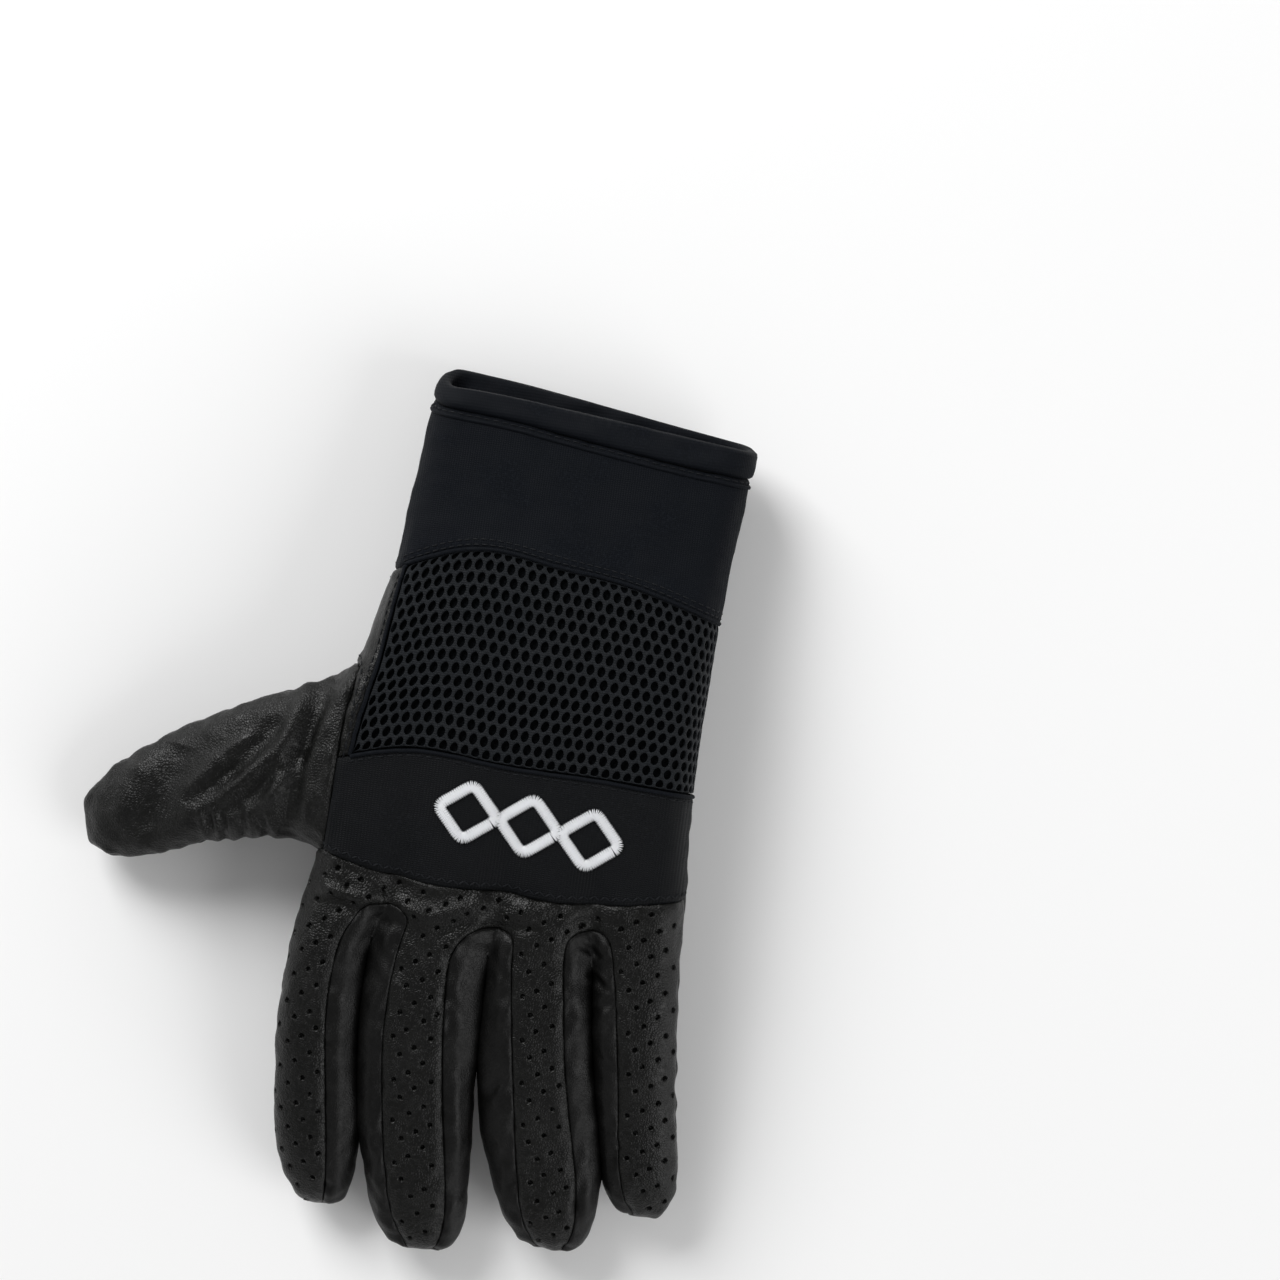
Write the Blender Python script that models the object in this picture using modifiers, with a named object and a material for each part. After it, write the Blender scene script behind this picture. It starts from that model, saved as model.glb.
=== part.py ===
"""Left-hand slide glove, lying palm down on its round slide puck, with the back of the hand up.

Metres, +Z up. The origin is the centre of the puck's sliding face. +Y runs towards the cuff, -Y towards the
fingertips, and the thumb is at -X.

The glove is one closed skin, lofted from rows across the hand and rings round each finger and the thumb.
Every sewn panel is a stretch of that skin, drawn back a little from its seams and given its own wall inwards.
"""

import math

import bmesh
import bpy
import numpy as np
from mathutils import Vector
from mathutils.bvhtree import BVHTree

MM = 0.001

# Driving sizes of the puck and the two halves of its hook and loop pads.
PUCK_DIAMETER = 100 * MM
PUCK_THICKNESS = 12 * MM
PUCK_CHAMFER_WIDTH = 6 * MM
PUCK_CHAMFER_HEIGHT = 3 * MM
PUCK_EDGE_ROUND = 1.5 * MM
PUCK_SIDES = 48
HOOK_PAD_MARGIN = 3 * MM
PAD_THICKNESS = 1.5 * MM
LOOP_PATCH_WIDTH = 86 * MM
LOOP_PATCH_LENGTH = 98 * MM
LOOP_PATCH_CORNER = 24 * MM
LOOP_PATCH_SHIFT = 7 * MM

# Driving sizes of the hand. The crotch line joins the roots of the fingers.
PALM_WIDTH = 102 * MM
PALM_LENGTH = 113 * MM
CUFF_LENGTH = 44.3 * MM
CROTCH_TO_PUCK_CENTRE = 42 * MM
HAND_DEPTH = 25 * MM
HAND_EDGE = 9 * MM
FINGER_DEPTH = 19 * MM
FINGER_FULLNESS = 2.3
WEB_DEPTH = 2 * MM
THUMB_LENGTH = 76 * MM
THUMB_WIDTH = 41 * MM
THUMB_ROOT_Y = 9 * MM
ARCH_WIDTH = 12 * MM
ARCH_RISE = 4 * MM
SIDE_COLUMN = 2.4 * MM
RIM_RISE_THUMB_SIDE = 6 * MM
RIM_RISE_LITTLE_SIDE = 2 * MM

# Walls, and the clearances that keep neighbouring pieces apart.
GAP = 0.3 * MM
SEAM_TUCK = 0.3 * MM
NEOPRENE_WALL = 3.0 * MM
BINDING_WALL = 3.8 * MM
BINDING_PROUD = 0.6 * MM
LEATHER_WALL = 1.4 * MM
FOURCHETTE_WALL = 1.1 * MM
BAND_WALL = 2.2 * MM
NET_WALL = 0.9 * MM
BACKING_WALL = 1.6 * MM
NET_CLEARANCE = 1.0 * MM
EMBLEM_WALL = 0.9 * MM

# The net: its cells across and along the back of the hand, and its strands.
NET_CELLS_ACROSS = 12
NET_CELLS_ALONG = 7
NET_STRAND = 1.5 * MM
NET_SWING = 1 / 6

# The rows and the columns that the pile patch on the cuff covers.
WRIST_PATCH_ROWS = (11, 14)
WRIST_PATCH_COLUMNS = (5, 26)

# The embroidered motif: a chain of joined lozenges.
EMBLEM_LENGTH = 54 * MM
EMBLEM_HEIGHT = 20 * MM
EMBLEM_STROKE = 3.6 * MM
EMBLEM_LOZENGES = 3
EMBLEM_CENTRE = (5 * MM, -5 * MM)
EMBLEM_TILT = math.radians(-5)

STAND = PUCK_THICKNESS + 2 * PAD_THICKNESS + 3 * GAP
CROTCH_Y = -CROTCH_TO_PUCK_CENTRE

# Rows of the skin that lie on seams.
ARCH_ROW, BAND_ROW, MESH_ROW, CUFF_ROW, BINDING_ROW, RIM_ROW = 1, 2, 5, 10, 14, 15
THUMB_ROWS = (2, 8)

# Columns of the skin across the back: eight on the index finger, and seven more on each other finger.
# The valleys between fingers are columns, and so are the two sides of each finger's back panel.
COLUMNS_PER_FINGER = 7
LAST_COLUMN = 4 * COLUMNS_PER_FINGER
VALLEYS = (7, 14, 21)
BACK_PANELS = ((1, 5), (9, 12), (16, 19), (23, 27))

# Where the rows run. Up to 1, along is a share of PALM_LENGTH from the crotch line, and from there each 1 is
# CUFF_LENGTH. The five bows are how far the row swings towards the cuff, as shares of PALM_WIDTH.
ROW_LINES = (
    # row, along, bow_thumb_side, bow_quarter, bow_centre, bow_three_quarters, bow_little_side
    (0, 0.000, 0.000, 0.000, 0.000, 0.000, 0.000),
    (1, 0.053, 0.059, 0.039, -0.010, 0.039, 0.060),
    (2, 0.152, 0.060, -0.007, 0.000, -0.008, 0.050),
    (5, 0.469, -0.069, 0.014, 0.000, 0.000, -0.013),
    (10, 1.000, -0.074, 0.020, 0.000, -0.032, -0.100),
    (14, 1.819, 0.050, 0.031, 0.000, -0.027, -0.042),
    (15, 2.000, 0.031, 0.020, 0.000, -0.022, -0.042),
)

# How the sides of the rows run, as shares of PALM_WIDTH: the outline, the edge of the thumb's opening,
# the edge of the mesh beside it, the little finger's side, and how far the mesh wraps under from there.
ROW_SIDES = (
    # row, thumb_side, thumb_opening, mesh_edge, little_side, mesh_wrap
    (1, -0.564, -0.538, -0.500, 0.528, 0.060),
    (2, -0.540, -0.515, -0.476, 0.526, 0.055),
    (3, -0.590, -0.510, -0.476, 0.515, 0.050),
    (5, -0.590, -0.505, -0.480, 0.505, 0.050),
    (6, -0.590, -0.505, -0.464, 0.503, 0.070),
    (7, -0.580, -0.503, -0.440, 0.503, 0.085),
    (8, -0.502, -0.478, -0.428, 0.505, 0.100),
    (9, -0.484, -0.462, -0.418, 0.508, 0.110),
    (10, -0.442, -0.424, -0.400, 0.512, 0.115),
    (12, -0.422, -0.398, -0.360, 0.526, 0.075),
    (14, -0.398, -0.374, -0.338, 0.543, 0.060),
    (15, -0.384, -0.360, -0.325, 0.548, 0.060),
)

# How high the rows lie: the underside as a share of STAND, and the depth and its crown as shares of
# HAND_DEPTH.
ROW_DEPTHS = (
    # row, underside, depth, crown
    (0, 1.080, 0.80, 0.00),
    (1, 1.030, 0.87, 0.02),
    (2, 1.000, 0.94, 0.04),
    (5, 1.000, 1.00, 0.07),
    (9, 1.000, 0.98, 0.08),
    (10, 0.950, 0.94, 0.08),
    (12, 0.800, 0.87, 0.07),
    (14, 0.620, 0.82, 0.05),
    (15, 0.570, 0.80, 0.04),
)

# How much of the fingers' roundness the rows above the crotch line keep.
KNUCKLE_FADE = {0: 1.0, 1: 0.80, 2: 0.50, 3: 0.24, 4: 0.10, 5: 0.03}

# Each finger: its length, then where its outline and its two seams run, at shares of that length.
# The outline is in shares of PALM_WIDTH, and the seams are shares of the finger's own width.
FINGERS = {
    # along, left, right, left_seam, right_seam
    "index": (
        83.5 * MM,
        (
            (0.00, -0.576, -0.353, 0.15, 0.64),
            (0.25, -0.590, -0.368, 0.15, 0.62),
            (0.50, -0.584, -0.349, 0.15, 0.66),
            (0.75, -0.558, -0.318, 0.15, 0.65),
            (1.00, -0.512, -0.300, 0.15, 0.64),
        ),
    ),
    "middle": (
        93 * MM,
        (
            (0.00, -0.353, -0.012, 0.25, 0.66),
            (0.25, -0.355, -0.020, 0.20, 0.72),
            (0.50, -0.328, -0.022, 0.19, 0.80),
            (0.75, -0.290, 0.012, 0.19, 0.82),
            (1.00, -0.232, 0.048, 0.18, 0.80),
        ),
    ),
    "ring": (
        87.5 * MM,
        (
            (0.00, -0.012, 0.283, 0.19, 0.72),
            (0.25, -0.002, 0.300, 0.26, 0.77),
            (0.50, 0.018, 0.343, 0.29, 0.78),
            (0.75, 0.076, 0.386, 0.22, 0.82),
            (1.00, 0.138, 0.410, 0.18, 0.82),
        ),
    ),
    "little": (
        74.4 * MM,
        (
            (0.00, 0.283, 0.528, 0.22, 0.85),
            (0.25, 0.310, 0.548, 0.26, 0.85),
            (0.50, 0.343, 0.573, 0.25, 0.85),
            (0.75, 0.383, 0.602, 0.20, 0.85),
            (1.00, 0.420, 0.632, 0.18, 0.85),
        ),
    ),
}

# The fingers droop from the palm towards the tips: the underside is a share of STAND, and the depth one of
# FINGER_DEPTH.
FINGER_DROOP = (
    # along, underside, depth
    (0.00, 1.08, 1.06),
    (0.25, 0.97, 1.03),
    (0.50, 0.72, 0.99),
    (0.75, 0.43, 0.94),
    (1.00, 0.17, 0.88),
)
FINGER_RINGS = (0.12, 0.26, 0.40, 0.55, 0.70)
TIP_START = 0.83
TIP_RINGS = (0.0, 0.45, 0.78, 0.96)
TIP_ROUNDNESS = 2.2

# The thumb's rings, from the middle of its root: out is a share of THUMB_LENGTH, and across one of
# THUMB_WIDTH.
THUMB_RINGS = (
    # upper_out, upper_across, lower_out, lower_across, underside, depth
    (0.099, 0.500, 0.112, -0.690, 1.00, 1.22),
    (0.230, 0.378, 0.225, -0.695, 0.94, 1.16),
    (0.375, 0.256, 0.350, -0.735, 0.82, 1.09),
    (0.507, 0.127, 0.475, -0.785, 0.66, 1.04),
    (0.638, 0.000, 0.595, -0.870, 0.50, 1.00),
    (0.770, -0.151, 0.705, -0.965, 0.38, 0.95),
    (0.875, -0.317, 0.803, -1.024, 0.31, 0.83),
    (0.954, -0.463, 0.880, -1.010, 0.34, 0.62),
    (0.993, -0.634, 0.950, -0.910, 0.45, 0.33),
)


def smooth_curves(stations, at):
    """The values at one position, on smooth curves through a table whose first column is the position."""
    table = np.array(stations, float)
    where, values = table[:, 0], table[:, 1:]
    slopes = np.gradient(values, where, axis=0)
    low = int(np.clip(np.searchsorted(where, at) - 1, 0, len(where) - 2))
    span = where[low + 1] - where[low]
    t = (at - where[low]) / span
    bend = (1 - t) ** 2 * t * slopes[low] - (1 - t) * t**2 * slopes[low + 1]
    ease = t * t * (3 - 2 * t)
    return values[low] * (1 - ease) + values[low + 1] * ease + bend * span


def blend(first, last, share):
    return first + (last - first) * share


def superellipse(angle, fullness):
    """A point of the unit superellipse, rounder than a circle's corners for a fullness over 2."""
    c, s = math.cos(angle), math.sin(angle)
    power = 2 / fullness
    return math.copysign(abs(c) ** power, c), math.copysign(abs(s) ** power, s)


def slab_height(x, left, right, half):
    """Half the depth of a padded slab at x: flat, with quarter-ellipse edges."""
    inset = min(max(min(x - left, right - x) / HAND_EDGE, 0), 1)
    return half * math.sqrt(1 - (1 - inset) ** 2)


class Skin:
    """The glove's outer surface: points, and the sewn panel that each face belongs to."""

    def __init__(self):
        self.points = []
        self.faces = []

    def add(self, x, y, z):
        self.points.append(Vector((x, y, z)))
        return len(self.points) - 1

    def face(self, panel, *corners):
        self.faces.append((panel, corners))

    def normals(self):
        """The outward direction at each point, over all the faces that meet there."""
        total = [Vector() for _ in self.points]
        for _, corners in self.faces:
            ring = [self.points[c] for c in corners]
            area = sum((ring[k - 1].cross(ring[k]) for k in range(len(ring))), Vector())
            for c in corners:
                total[c] += area
        return [t.normalized() for t in total]


def ring_angles(left_seam, right_seam):
    """Angles of the eight points over a finger: two outside each seam, the seams, and two between them."""
    left = math.pi - math.acos((1 - 2 * left_seam) ** (FINGER_FULLNESS / 2))
    right = math.acos((2 * right_seam - 1) ** (FINGER_FULLNESS / 2))
    back = [left + (right - left) * share for share in (1 / 3, 2 / 3)]
    beside_left = [math.pi - (math.pi - left) * share for share in (0.34, 0.68)]
    beside_right = [right * share for share in (0.68, 0.34)]
    return [*beside_left, left, *back, right, *beside_right]


def finger_ring(outline, length, along, closing=1.0):
    """One ring round a finger: its place, and its eight columns from left to right as (x, rise)."""
    left, right, left_seam, right_seam = smooth_curves(outline, along)
    underside, depth = smooth_curves(FINGER_DROOP, along)
    centre = (left + right) / 2 * PALM_WIDTH
    half_width = (right - left) / 2 * PALM_WIDTH * closing
    half_depth = depth / 2 * FINGER_DEPTH
    shape = [superellipse(angle, FINGER_FULLNESS) for angle in ring_angles(left_seam, right_seam)]
    return {
        "y": CROTCH_Y - along * length,
        "z": underside * STAND + half_depth,
        "left": centre - half_width,
        "right": centre + half_width,
        "columns": [(centre + half_width * c, half_depth * closing * s) for c, s in shape],
    }


def crotch_columns():
    """The columns of the row at the fingers' roots, as (x, rise). Neighbouring fingers share a valley."""
    columns = []
    for length, outline in FINGERS.values():
        ring = finger_ring(outline, length, 0.0)["columns"]
        if columns:
            x, rise = columns.pop()
            ring[0] = ((x + ring[0][0]) / 2, (rise + ring[0][1]) / 2)
        columns += ring
    return columns


def spread_columns(row, crotch, sides):
    """The x of every column in a row: spaced as at the crotch, and gathered at the arches."""
    _, opening, mesh_edge, little_side, _ = sides * PALM_WIDTH
    low, high = crotch[1][0], crotch[LAST_COLUMN - 1][0]
    anchors = [1, *VALLEYS, LAST_COLUMN - 1]
    shares = [(crotch[c][0] - low) / (high - low) for c in anchors]
    inner_side = little_side - 2.6 * SIDE_COLUMN
    spread = np.interp(range(LAST_COLUMN + 1), anchors, shares)
    columns = mesh_edge + spread * (inner_side - mesh_edge)
    columns[0] = opening
    columns[LAST_COLUMN] = little_side - SIDE_COLUMN
    if row == ARCH_ROW:
        for valley in VALLEYS:
            for step in (-2, -1, 1, 2):
                columns[valley + step] = columns[valley] + step * ARCH_WIDTH / 4
        for first, last in BACK_PANELS:
            columns[first : last + 1] = np.linspace(columns[first], columns[last], last - first + 1)
    return columns


def row_line(row, x, left, right):
    """The y of a row at x, on its own bowed line."""
    along, *bows = smooth_curves(ROW_LINES, row)
    reach = min(along, 1) * PALM_LENGTH + max(along - 1, 0) * CUFF_LENGTH
    quarters = [(k / 4, bow) for k, bow in enumerate(bows)]
    return CROTCH_Y + reach + smooth_curves(quarters, (x - left) / (right - left))[0] * PALM_WIDTH


def arch_drop(row, column):
    """How far a column lies below the top of the arch over the nearest valley."""
    if row != ARCH_ROW:
        return 0.0
    nearest = min(abs(column - valley) for valley in VALLEYS)
    return ARCH_RISE * min(nearest / 2, 1) ** 2


def rim_rise(row, x, left, right):
    """How much further the palm side of the cuff reaches than its back, most at the thumb side."""
    share = max(row - CUFF_ROW, 0) / (RIM_ROW - CUFF_ROW)
    return blend(RIM_RISE_THUMB_SIDE, RIM_RISE_LITTLE_SIDE, (x - left) / (right - left)) * share


def hand_row(skin, row, crotch):
    """One row round the hand, as two sheets of points that share their ends: the back and the palm side."""
    sides = smooth_curves(ROW_SIDES, row)
    underside, depth, crown = smooth_curves(ROW_DEPTHS, row)
    left, right = sides[0] * PALM_WIDTH, sides[3] * PALM_WIDTH
    half = depth / 2 * HAND_DEPTH
    middle = underside * STAND + half
    root_half = FINGER_DROOP[0][2] / 2 * FINGER_DEPTH
    fade = KNUCKLE_FADE.get(row, 0)

    def point(x, column, side):
        y = row_line(row, x, left, right) - arch_drop(row, column)
        height = slab_height(x, left, right, half)
        if 2 < column < LAST_COLUMN - 2:
            height += fade * (crotch[column][1] - root_half)
        if side > 0:
            height += crown * HAND_DEPTH * (1 - ((2 * x - left - right) / (right - left)) ** 2)
        else:
            y += rim_rise(row, x, left, right)
        return skin.add(x, y, middle + side * height)

    columns = spread_columns(row, crotch, sides)
    back = [point(x, column, 1) for column, x in enumerate(columns)]
    if row > MESH_ROW:
        wrapped, valley = right - sides[4] * PALM_WIDTH, VALLEYS[-1]
        columns[valley:LAST_COLUMN] = np.linspace(columns[valley], wrapped, LAST_COLUMN - valley)
    palm = [point(x, column, -1) for column, x in enumerate(columns)]
    ends = []
    for x in (left, right):
        y = row_line(row, x, left, right) + rim_rise(row, x, left, right) / 2
        ends.append(skin.add(x, y, middle))
    return [ends[0], *back, ends[1]], [ends[0], *palm, ends[1]]


def crotch_row(skin, crotch):
    """The row at the fingers' roots, and the points inside the webs between them."""
    rings = [finger_ring(outline, length, 0.0) for length, outline in FINGERS.values()]
    middle = rings[0]["z"]
    ends = [skin.add(x, CROTCH_Y, middle) for x in (rings[0]["left"], rings[-1]["right"])]
    sheets = []
    for side in (1, -1):
        points = [skin.add(x, CROTCH_Y, middle + side * rise) for x, rise in crotch]
        sheets.append([ends[0], *points, ends[1]])
    webs = [skin.add(crotch[valley][0], CROTCH_Y - WEB_DEPTH, middle) for valley in VALLEYS]
    return sheets, [ends[0], *webs, ends[1]]


def loft(skin, near, far, panel_of, skipped=()):
    """Faces between two lines of points. They turn outwards where near comes before far on the back."""
    for k in range(len(near) - 1):
        if k not in skipped:
            skin.face(panel_of(k), near[k], near[k + 1], far[k + 1], far[k])


def close_tip(skin, back, palm, panel):
    """Closes the end of a finger or thumb across its last ring."""
    last = len(back) - 2
    skin.face(panel, palm[0], palm[1], back[1])
    for k in range(1, last):
        skin.face(panel, palm[k], palm[k + 1], back[k + 1], back[k])
    skin.face(panel, palm[last], palm[last + 1], back[last])


def back_panel(row, span):
    """The panel of a face on the back. Span 0 is the thumb side's edge, and column c ends span c."""
    column = span - 1
    if row == 0 and any(valley - 2 <= column <= valley + 1 for valley in VALLEYS):
        return f"fourchette_{1 + min(range(3), key=lambda k: abs(column - VALLEYS[k]))}"
    if row < BAND_ROW:
        return "finger_backs"
    if row < MESH_ROW:
        return "knuckle_band"
    if row < CUFF_ROW:
        return "palm" if column < 1 else "mesh"
    return "cuff_back" if row < BINDING_ROW else "cuff_binding"


def palm_panel(row, span):
    """The panel that a face on the palm side belongs to."""
    column = span - 1
    if row == 0:
        panel = back_panel(row, span)
        return panel if panel.startswith("fourchette") else "palm"
    if MESH_ROW <= row < CUFF_ROW:
        return "mesh" if column >= LAST_COLUMN - 1 else "palm"
    if row < CUFF_ROW:
        return "palm"
    return "cuff_palm" if row < BINDING_ROW else "cuff_binding"


def add_hand(skin):
    """The rows of the hand, from the fingers' roots to the cuff's rim."""
    crotch = crotch_columns()
    first, webs = crotch_row(skin, crotch)
    rows = [first, *(hand_row(skin, row, crotch) for row in range(1, RIM_ROW + 1))]
    for row, (near, far) in enumerate(zip(rows, rows[1:])):
        skipped = (0,) if THUMB_ROWS[0] <= row < THUMB_ROWS[1] else ()
        loft(skin, near[0], far[0], lambda span, row=row: back_panel(row, span), skipped)
        loft(skin, far[1], near[1], lambda span, row=row: palm_panel(row, span), skipped)
    return rows, webs


def finger_panel(finger, span, on_back):
    """The panel of a face on a finger. Spans 0 to 2 lie left of its back panel and 6 to 8 right of it."""
    if span <= 2 and finger > 0:
        return f"fourchette_{finger}"
    if span >= 6 and finger < 3:
        return f"fourchette_{finger + 1}"
    return "finger_backs" if on_back else "palm"


def add_fingers(skin, rows, webs):
    """The four fingers, each a row of rings from the crotch to its closed tip."""
    stations = [(along, 1.0) for along in FINGER_RINGS]
    for share in TIP_RINGS:
        closing = (1 - share**TIP_ROUNDNESS) ** (1 / TIP_ROUNDNESS)
        stations.append((blend(TIP_START, 1, share), closing))
    for finger, (length, outline) in enumerate(FINGERS.values()):
        first = 1 + finger * COLUMNS_PER_FINGER
        roots = [sheet[first : first + COLUMNS_PER_FINGER + 1] for sheet in rows[0]]
        sheets = [[webs[finger], *root, webs[finger + 1]] for root in roots]
        for along, closing in stations:
            ring = finger_ring(outline, length, along, closing)
            ends = [skin.add(ring[side], ring["y"], ring["z"]) for side in ("left", "right")]
            grown = []
            for side in (1, -1):
                points = [skin.add(x, ring["y"], ring["z"] + side * rise) for x, rise in ring["columns"]]
                grown.append([ends[0], *points, ends[1]])
            loft(skin, grown[0], sheets[0], lambda k, f=finger: finger_panel(f, k, True))
            loft(skin, sheets[1], grown[1], lambda k, f=finger: finger_panel(f, k, False))
            sheets = grown
        close_tip(skin, *sheets, "finger_backs")


def add_thumb(skin, rows):
    """The thumb: rings from the opening at the hand's side to its closed tip."""
    lowest, highest = THUMB_ROWS
    ends = rows[highest][0][0], rows[lowest][0][0]
    edge = range(highest, lowest - 1, -1)
    sheets = [[ends[0], *(rows[row][side][1] for row in edge), ends[1]] for side in (0, 1)]
    spans = len(edge) + 1
    root_x = -PALM_WIDTH / 2
    for upper_out, upper_across, lower_out, lower_across, underside, depth in THUMB_RINGS:
        upper = Vector((root_x - upper_out * THUMB_LENGTH, THUMB_ROOT_Y + upper_across * THUMB_WIDTH))
        lower = Vector((root_x - lower_out * THUMB_LENGTH, THUMB_ROOT_Y + lower_across * THUMB_WIDTH))
        half_depth = depth / 2 * FINGER_DEPTH
        middle = underside * STAND + half_depth
        ends = [skin.add(*place, middle) for place in (upper, lower)]
        grown = []
        for side in (1, -1):
            points = []
            for k in range(1, spans):
                c, s = superellipse(math.pi * k / spans, FINGER_FULLNESS)
                place = (upper + lower) / 2 + (upper - lower) / 2 * c
                points.append(skin.add(*place, middle + side * half_depth * s))
            grown.append([ends[0], *points, ends[1]])
        loft(skin, grown[0], sheets[0], lambda k: "thumb_back")
        loft(skin, sheets[1], grown[1], lambda k: "thumb_front")
        sheets = grown
    close_tip(skin, *sheets, "thumb_back")


def build_skin():
    skin = Skin()
    rows, webs = add_hand(skin)
    add_fingers(skin, rows, webs)
    add_thumb(skin, rows)
    return skin, rows


def linked(name, mesh, material):
    """An object of the glove, with one material."""
    obj = bpy.data.objects.new(name, mesh)
    obj.data.materials.append(material)
    bpy.data.collections["slide_glove"].objects.link(obj)
    return obj


def finish_mesh(name, bm, material, sharp=40):
    """Turns a closed bmesh into a smooth-shaded object."""
    bmesh.ops.recalc_face_normals(bm, faces=bm.faces)
    mesh = bpy.data.meshes.new(name)
    bm.to_mesh(mesh)
    bm.free()
    mesh.shade_smooth()
    mesh.set_sharp_from_angle(angle=math.radians(sharp))
    return linked(name, mesh, material)


def tuck_border(bm, distance):
    """Draws an open surface's border back along the surface."""
    moves = {}
    for vert in bm.verts:
        border = [edge for edge in vert.link_edges if edge.is_boundary]
        if not border:
            continue
        inward = Vector()
        for edge in border:
            face = edge.link_faces[0]
            along = (edge.verts[1].co - edge.verts[0].co).normalized()
            side = face.normal.cross(along)
            middle = (edge.verts[0].co + edge.verts[1].co) / 2
            toward = face.calc_center_median() - middle
            inward += side if side.dot(toward) > 0 else -side
        moves[vert] = inward.normalized() * distance
    for vert, move in moves.items():
        vert.co += move


def thicken(bm, skin_normals, wall):
    """Gives an open surface its wall, along the skin's normals so that neighbours' edges stay parallel."""
    layer = bm.verts.layers.int["skin"]
    grown = bmesh.ops.extrude_face_region(bm, geom=bm.faces[:])
    for vert in grown["geom"]:
        if isinstance(vert, bmesh.types.BMVert):
            vert.co -= skin_normals[vert[layer]] * wall


def panel_surface(skin, normals, faces, lift=0.0):
    """The skin's faces of one panel as an open surface, lifted along the normals."""
    bm = bmesh.new()
    layer = bm.verts.layers.int.new("skin")
    made = {}
    for corners in faces:
        for c in corners:
            if c not in made:
                made[c] = bm.verts.new(skin.points[c] + normals[c] * lift)
                made[c][layer] = c
        bm.faces.new([made[c] for c in corners])
    bm.normal_update()
    return bm


def sewn_panel(name, skin, normals, faces, wall, material, lift=0.0):
    """One panel of the glove: its stretch of the skin, drawn back from its seams, with a wall inwards."""
    bm = panel_surface(skin, normals, faces, lift)
    tuck_border(bm, SEAM_TUCK)
    thicken(bm, normals, wall)
    return finish_mesh(name, bm, material)


def even_line(points, count):
    """The points of a line again, evenly spaced along it."""
    steps = [(b - a).length for a, b in zip(points, points[1:])]
    reached = np.concatenate([[0], np.cumsum(steps)])
    places = np.linspace(0, reached[-1], count)
    axes = [np.interp(places, reached, [p[axis] for p in points]) for axis in range(3)]
    return [Vector(place) for place in zip(*axes)]


def net_points(skin, rows):
    """Lines of points over the mesh panel, two steps to a cell, swung by turns to make six-sided cells."""
    across = 2 * NET_CELLS_ACROSS + 1
    lines = []
    for back, palm in rows[MESH_ROW : CUFF_ROW + 1]:
        around = [*back[2:], palm[LAST_COLUMN + 1], palm[LAST_COLUMN]]
        lines.append(even_line([skin.points[k] for k in around], across))
    columns = [even_line(column, NET_CELLS_ALONG + 1) for column in zip(*lines)]
    for i, column in enumerate(columns):
        cell = [b - a for a, b in zip(column, column[1:])]
        for j in range(1, NET_CELLS_ALONG):
            column[j] = column[j] + cell[j] * ((1 if (i + j) % 2 == 0 else -1) * NET_SWING)
    return columns


def open_net(name, skin, rows, material):
    """The mesh over the back of the hand: staggered six-sided cells, each inset and cut through."""
    columns = net_points(skin, rows)
    bm = bmesh.new()
    verts = [[bm.verts.new(point) for point in column] for column in columns]
    cells = []
    last = len(columns) - 1
    for j in range(NET_CELLS_ALONG):
        starts = range(-1 if j % 2 else 0, last, 2)
        for start in starts:
            across = [i for i in (start, start + 1, start + 2) if 0 <= i <= last]
            corners = [verts[i][j] for i in across] + [verts[i][j + 1] for i in reversed(across)]
            face = bm.faces.new(corners)
            if len(across) == 3:
                cells.append(face)
    bm.normal_update()
    tuck_border(bm, SEAM_TUCK)
    bmesh.ops.inset_individual(bm, faces=cells, thickness=NET_STRAND / 2, use_even_offset=True)
    bmesh.ops.delete(bm, geom=cells, context="FACES")
    bm.normal_update()
    inward = {vert.index: vert.normal.copy() for vert in bm.verts}
    layer = bm.verts.layers.int.new("skin")
    for vert in bm.verts:
        vert[layer] = vert.index
    thicken(bm, inward, NET_WALL)
    return finish_mesh(name, bm, material)


def lozenge_chain():
    """Flat quads of a chain of lozenges joined at their tips, lying along X round the origin."""
    pitch = EMBLEM_LENGTH / EMBLEM_LOZENGES
    half_height = EMBLEM_HEIGHT / 2
    slope = math.hypot(pitch / 2, half_height)
    inset_x = EMBLEM_STROKE * slope / half_height
    inset_y = EMBLEM_STROKE * slope / (pitch / 2)
    quads = []
    for k in range(EMBLEM_LOZENGES):
        middle = (k + 0.5) * pitch - EMBLEM_LENGTH / 2
        for across in (-1, 1):
            tip, hole = middle + across * pitch / 2, middle + across * (pitch / 2 - inset_x)
            for up in (-1, 1):
                notch = (tip, up * EMBLEM_STROKE / 2)
                top, inner_top = (middle, up * half_height), (middle, up * (half_height - inset_y))
                quads.append([notch, top, inner_top, (hole, 0)])
            quads.append([(tip, -EMBLEM_STROKE / 2), (tip, EMBLEM_STROKE / 2), (hole, 0)])
    return quads


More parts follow.
